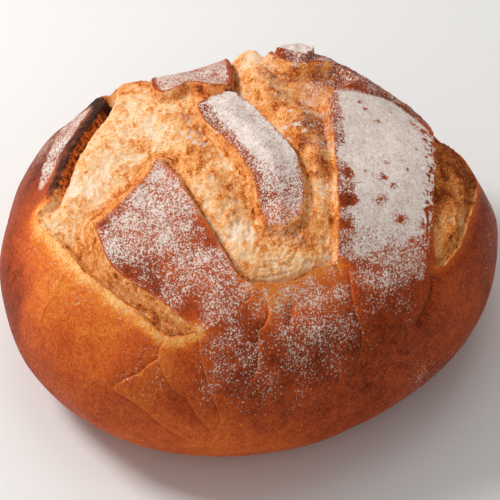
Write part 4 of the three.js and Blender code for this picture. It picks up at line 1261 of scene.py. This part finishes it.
def loafMaterial():
    finish = Finish("bakedCrustAndCrumb")
    place = finish.node("ShaderNodeTexCoord", output="Object")
    tornLayer, bakeAndShadeLayer, toastAndShadeLayer, flourLayer, burntAndShadeLayer, creviceLayer = (
        finish.layer(name) for name in ("torn", "bakeAndShade", "toastAndShade", "flour", "burntAndShade", "crevice"))

    broad = finish.noise(place, 9, 3, 0.55) - 0.5
    fine = finish.noise(place, 1.9, 3, 0.65) - 0.5
    grit = finish.grit(place, loafFinish["grainSize"]) - 0.5
    dust = finish.grit(place, loafFinish["coarseGrain"], 3.1) - 0.5
    skin = finish.noise(place, 3.6, 4, 0.65) - 0.5

    crustTone = bakeAndShadeLayer + broad * 0.26 + skin * 0.28 + fine * 0.34 + grit * 0.3 + dust * 0.1
    crustColour = finish.ramp(crustTone, loafFinish["crust"])
    crack = (finish.layer("crackLight") * (0.4 + fine * 5)).clamped()
    crustColour = finish.mix(crack * 0.7, crustColour, loafFinish["crackLight"])

    # the crumb is laced with toasted lines around paler pockets, more so in some parts than in others
    drawn = finish.stretched(place, loafFinish["drawnOut"])
    lace = (1 - (finish.noise(drawn, 3.8, 4, 0.65, 0.6) - 0.5).absolute() * 12).clamped()
    threads = (1 - (finish.noise(drawn, 1.7, 3, 0.65, 0.4) - 0.5).absolute() * 9).clamped()
    patches = finish.noise(drawn, 9, 4, 0.6) - 0.5
    calm = finish.noise(place, 16, 2).above(0.5, 0.16) * 0.65 + 0.35
    golden = finish.noise(drawn, 6, 5, 0.68, 0.5).above(0.56, 0.07)
    strands = (fine * 0.5 + lace * 0.15 + threads * 0.13) * calm
    crumbTone = toastAndShadeLayer + patches * 0.5 + golden * 0.24 + strands + grit * 0.4 + dust * 0.2 - 0.1
    crumbColour = finish.ramp(crumbTone, loafFinish["crumb"])

    inCrevice = (creviceLayer + fine * 0.6).clamped() * creviceLayer.above(0.1, 0.2)
    streak = ((finish.noise(place, 2.6, 3, 0.65, 0.4) - 0.44) / 0.1 + grit * 0.6).clamped()
    wallColour = finish.mix(streak, loafFinish["creviceDark"], loafFinish["crevice"])
    crumbColour = finish.mix(inCrevice, crumbColour, wallColour)

    base = finish.mix(tornLayer, crustColour, crumbColour)
    # dark crack lines, with painted shade in deep grooves and along the seams
    base = finish.mix(finish.layer("darkLinesAndShade") * (0.72 + fine), base, loafFinish["darkLinesAndShade"])
    # burnt crust, with painted shade on the lip's upper wall and at the back edges' wall feet
    scorchAndShade = (burntAndShadeLayer + skin * 0.5 + fine * 0.7 + grit * 0.25).clamped() * burntAndShadeLayer.above(0.06, 0.08)
    base = finish.mix(scorchAndShade.above(0.25, 0.3), base, loafFinish["burntAndShadeBrown"])
    base = finish.mix(scorchAndShade.above(0.58, 0.36), base, loafFinish["burntAndShade"])

    # flour lies in fine grains: where there is much of it they close up
    clumps = finish.noise(place, 2.2, 3, 0.65) - 0.5
    drifts = finish.noise(place, 7, 3, 0.6) - 0.5
    amount = flourLayer + clumps * 0.08 + drifts * 0.1
    here = flourLayer.above(0.035, 0.05)
    cover = ((grit + (amount - 0.57) * 0.95) / 0.12).clamped() * here
    second = ((dust + (amount - 0.7) * 1.1) / 0.14).clamped() * here
    flourShade = ((drifts + clumps) * 1.6 + grit * 0.7 + 0.5).clamped()
    flourColour = finish.mix(flourShade, loafFinish["flourShade"], loafFinish["flour"])
    flourColour = finish.mix(amount.below(0.6, 0.25) * 0.6, flourColour, loafFinish["sparseFlour"])
    along = finish.stretched(place, loafFinish["scuffedAlong"])
    scuff = finish.noise(along, 5.5, 5, 0.72).above(0.655, 0.05)
    flourColour = finish.mix(scuff * 0.6, flourColour, loafFinish["flourScuff"])
    bareSpeck = finish.grit(place, loafFinish["grainSize"], 5.7).above(0.74, 0.05) * 0.6
    bareSpeck = bareSpeck + (fine + 0.22).below(0.0, 0.05) * 0.4
    haze = (amount * 0.38 - 0.1).clamped() * here
    base = finish.mix(haze, base, loafFinish["thinFlour"])
    covered = cover * (0.74 + dust * 0.28 + amount.clamped() * 0.2) * (1 - bareSpeck * 0.5)
    base = finish.mix(covered, base, flourColour)
    base = finish.mix(second * 0.94 * (1 - bareSpeck), base, flourColour)

    rough = (0.52 + tornLayer * 0.34 + fine * 0.25 + burntAndShadeLayer * 0.25 + cover * 0.35).clamped()
    relief = cover * 0.14 + fine * 0.7 * (0.3 + tornLayer) + grit * 0.2 * (0.45 + tornLayer)
    relief = relief + clumps * cover * 0.9 + dust * 0.16
    normal = finish.node("ShaderNodeBump", None, {
        "Strength": loafFinish["reliefStrength"], "Distance": loafFinish["reliefDepth"], "Height": relief})
    return finish.surface(Base_Color=base, Roughness=rough, Normal=normal,
                          Specular_IOR_Level=loafFinish["gloss"])


bakedLoaf.data.materials.append(loafMaterial())
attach(bakedLoaf, "root")
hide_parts("loaf")
print("loaf finished")


# ---- floor, lights and camera
studio = {
    "floorReach": 4.0,
    "floorColour": (0.86, 0.86, 0.86, 1),
    "worldStrength": 0.3,
    "lightColour": (1.0, 0.985, 0.962),
    "lights": [  # name, place, size, power, all metres and watts
        ("windowLight", (-0.85, 0.4, 0.98), 0.4, 13.0),
        ("topLight", (0.1, 0.45, 1.4), 0.9, 3.5),
        ("frontFill", (-0.4, -1.3, 0.7), 1.2, 2.5),
    ],
    "lightAim": (0, 0, 0.05),
    "aim": (0.0, -0.0015, 0.0434),
    "elevation": 48.0,
    "distance": 1.1,
    "lens": 163.6,
}


def buildStudio():
    scene = bpy.context.scene
    reach = studio["floorReach"]
    mesh = bpy.data.meshes.new("studioFloor")
    mesh.from_pydata([(-reach, -reach, 0), (reach, -reach, 0), (reach, reach, 0), (-reach, reach, 0)], [],
                     [(0, 1, 2, 3)])
    mesh.materials.append(Finish("paleFloor").surface(Base_Color=studio["floorColour"], Roughness=0.9))
    addObject("studioFloor", mesh)

    scene.world = bpy.data.worlds.new("softWorld")
    scene.world.use_nodes = True
    background = scene.world.node_tree.nodes["Background"].inputs
    background["Color"].default_value = (*studio["lightColour"], 1)
    background["Strength"].default_value = studio["worldStrength"]

    for name, place, size, power in studio["lights"]:
        light = bpy.data.lights.new(name, "AREA")
        light.size, light.energy, light.color = size, power, studio["lightColour"]
        lamp = addObject(name, light)
        lamp.location = place
        towards = Vector(studio["lightAim"]) - Vector(place)
        lamp.rotation_euler = towards.to_track_quat("-Z", "Y").to_euler()

    lens = bpy.data.cameras.new("photoCamera")
    lens.lens, lens.sensor_width = studio["lens"], 36.0
    camera = addObject("photoCamera", lens)
    tilt = math.radians(studio["elevation"])
    back = Vector((0, -math.cos(tilt), math.sin(tilt)))
    camera.location = Vector(studio["aim"]) + back * studio["distance"]
    camera.rotation_euler = (math.pi / 2 - tilt, 0, 0)
    scene.camera = camera
    scene.view_settings.view_transform = "Standard"


buildStudio()
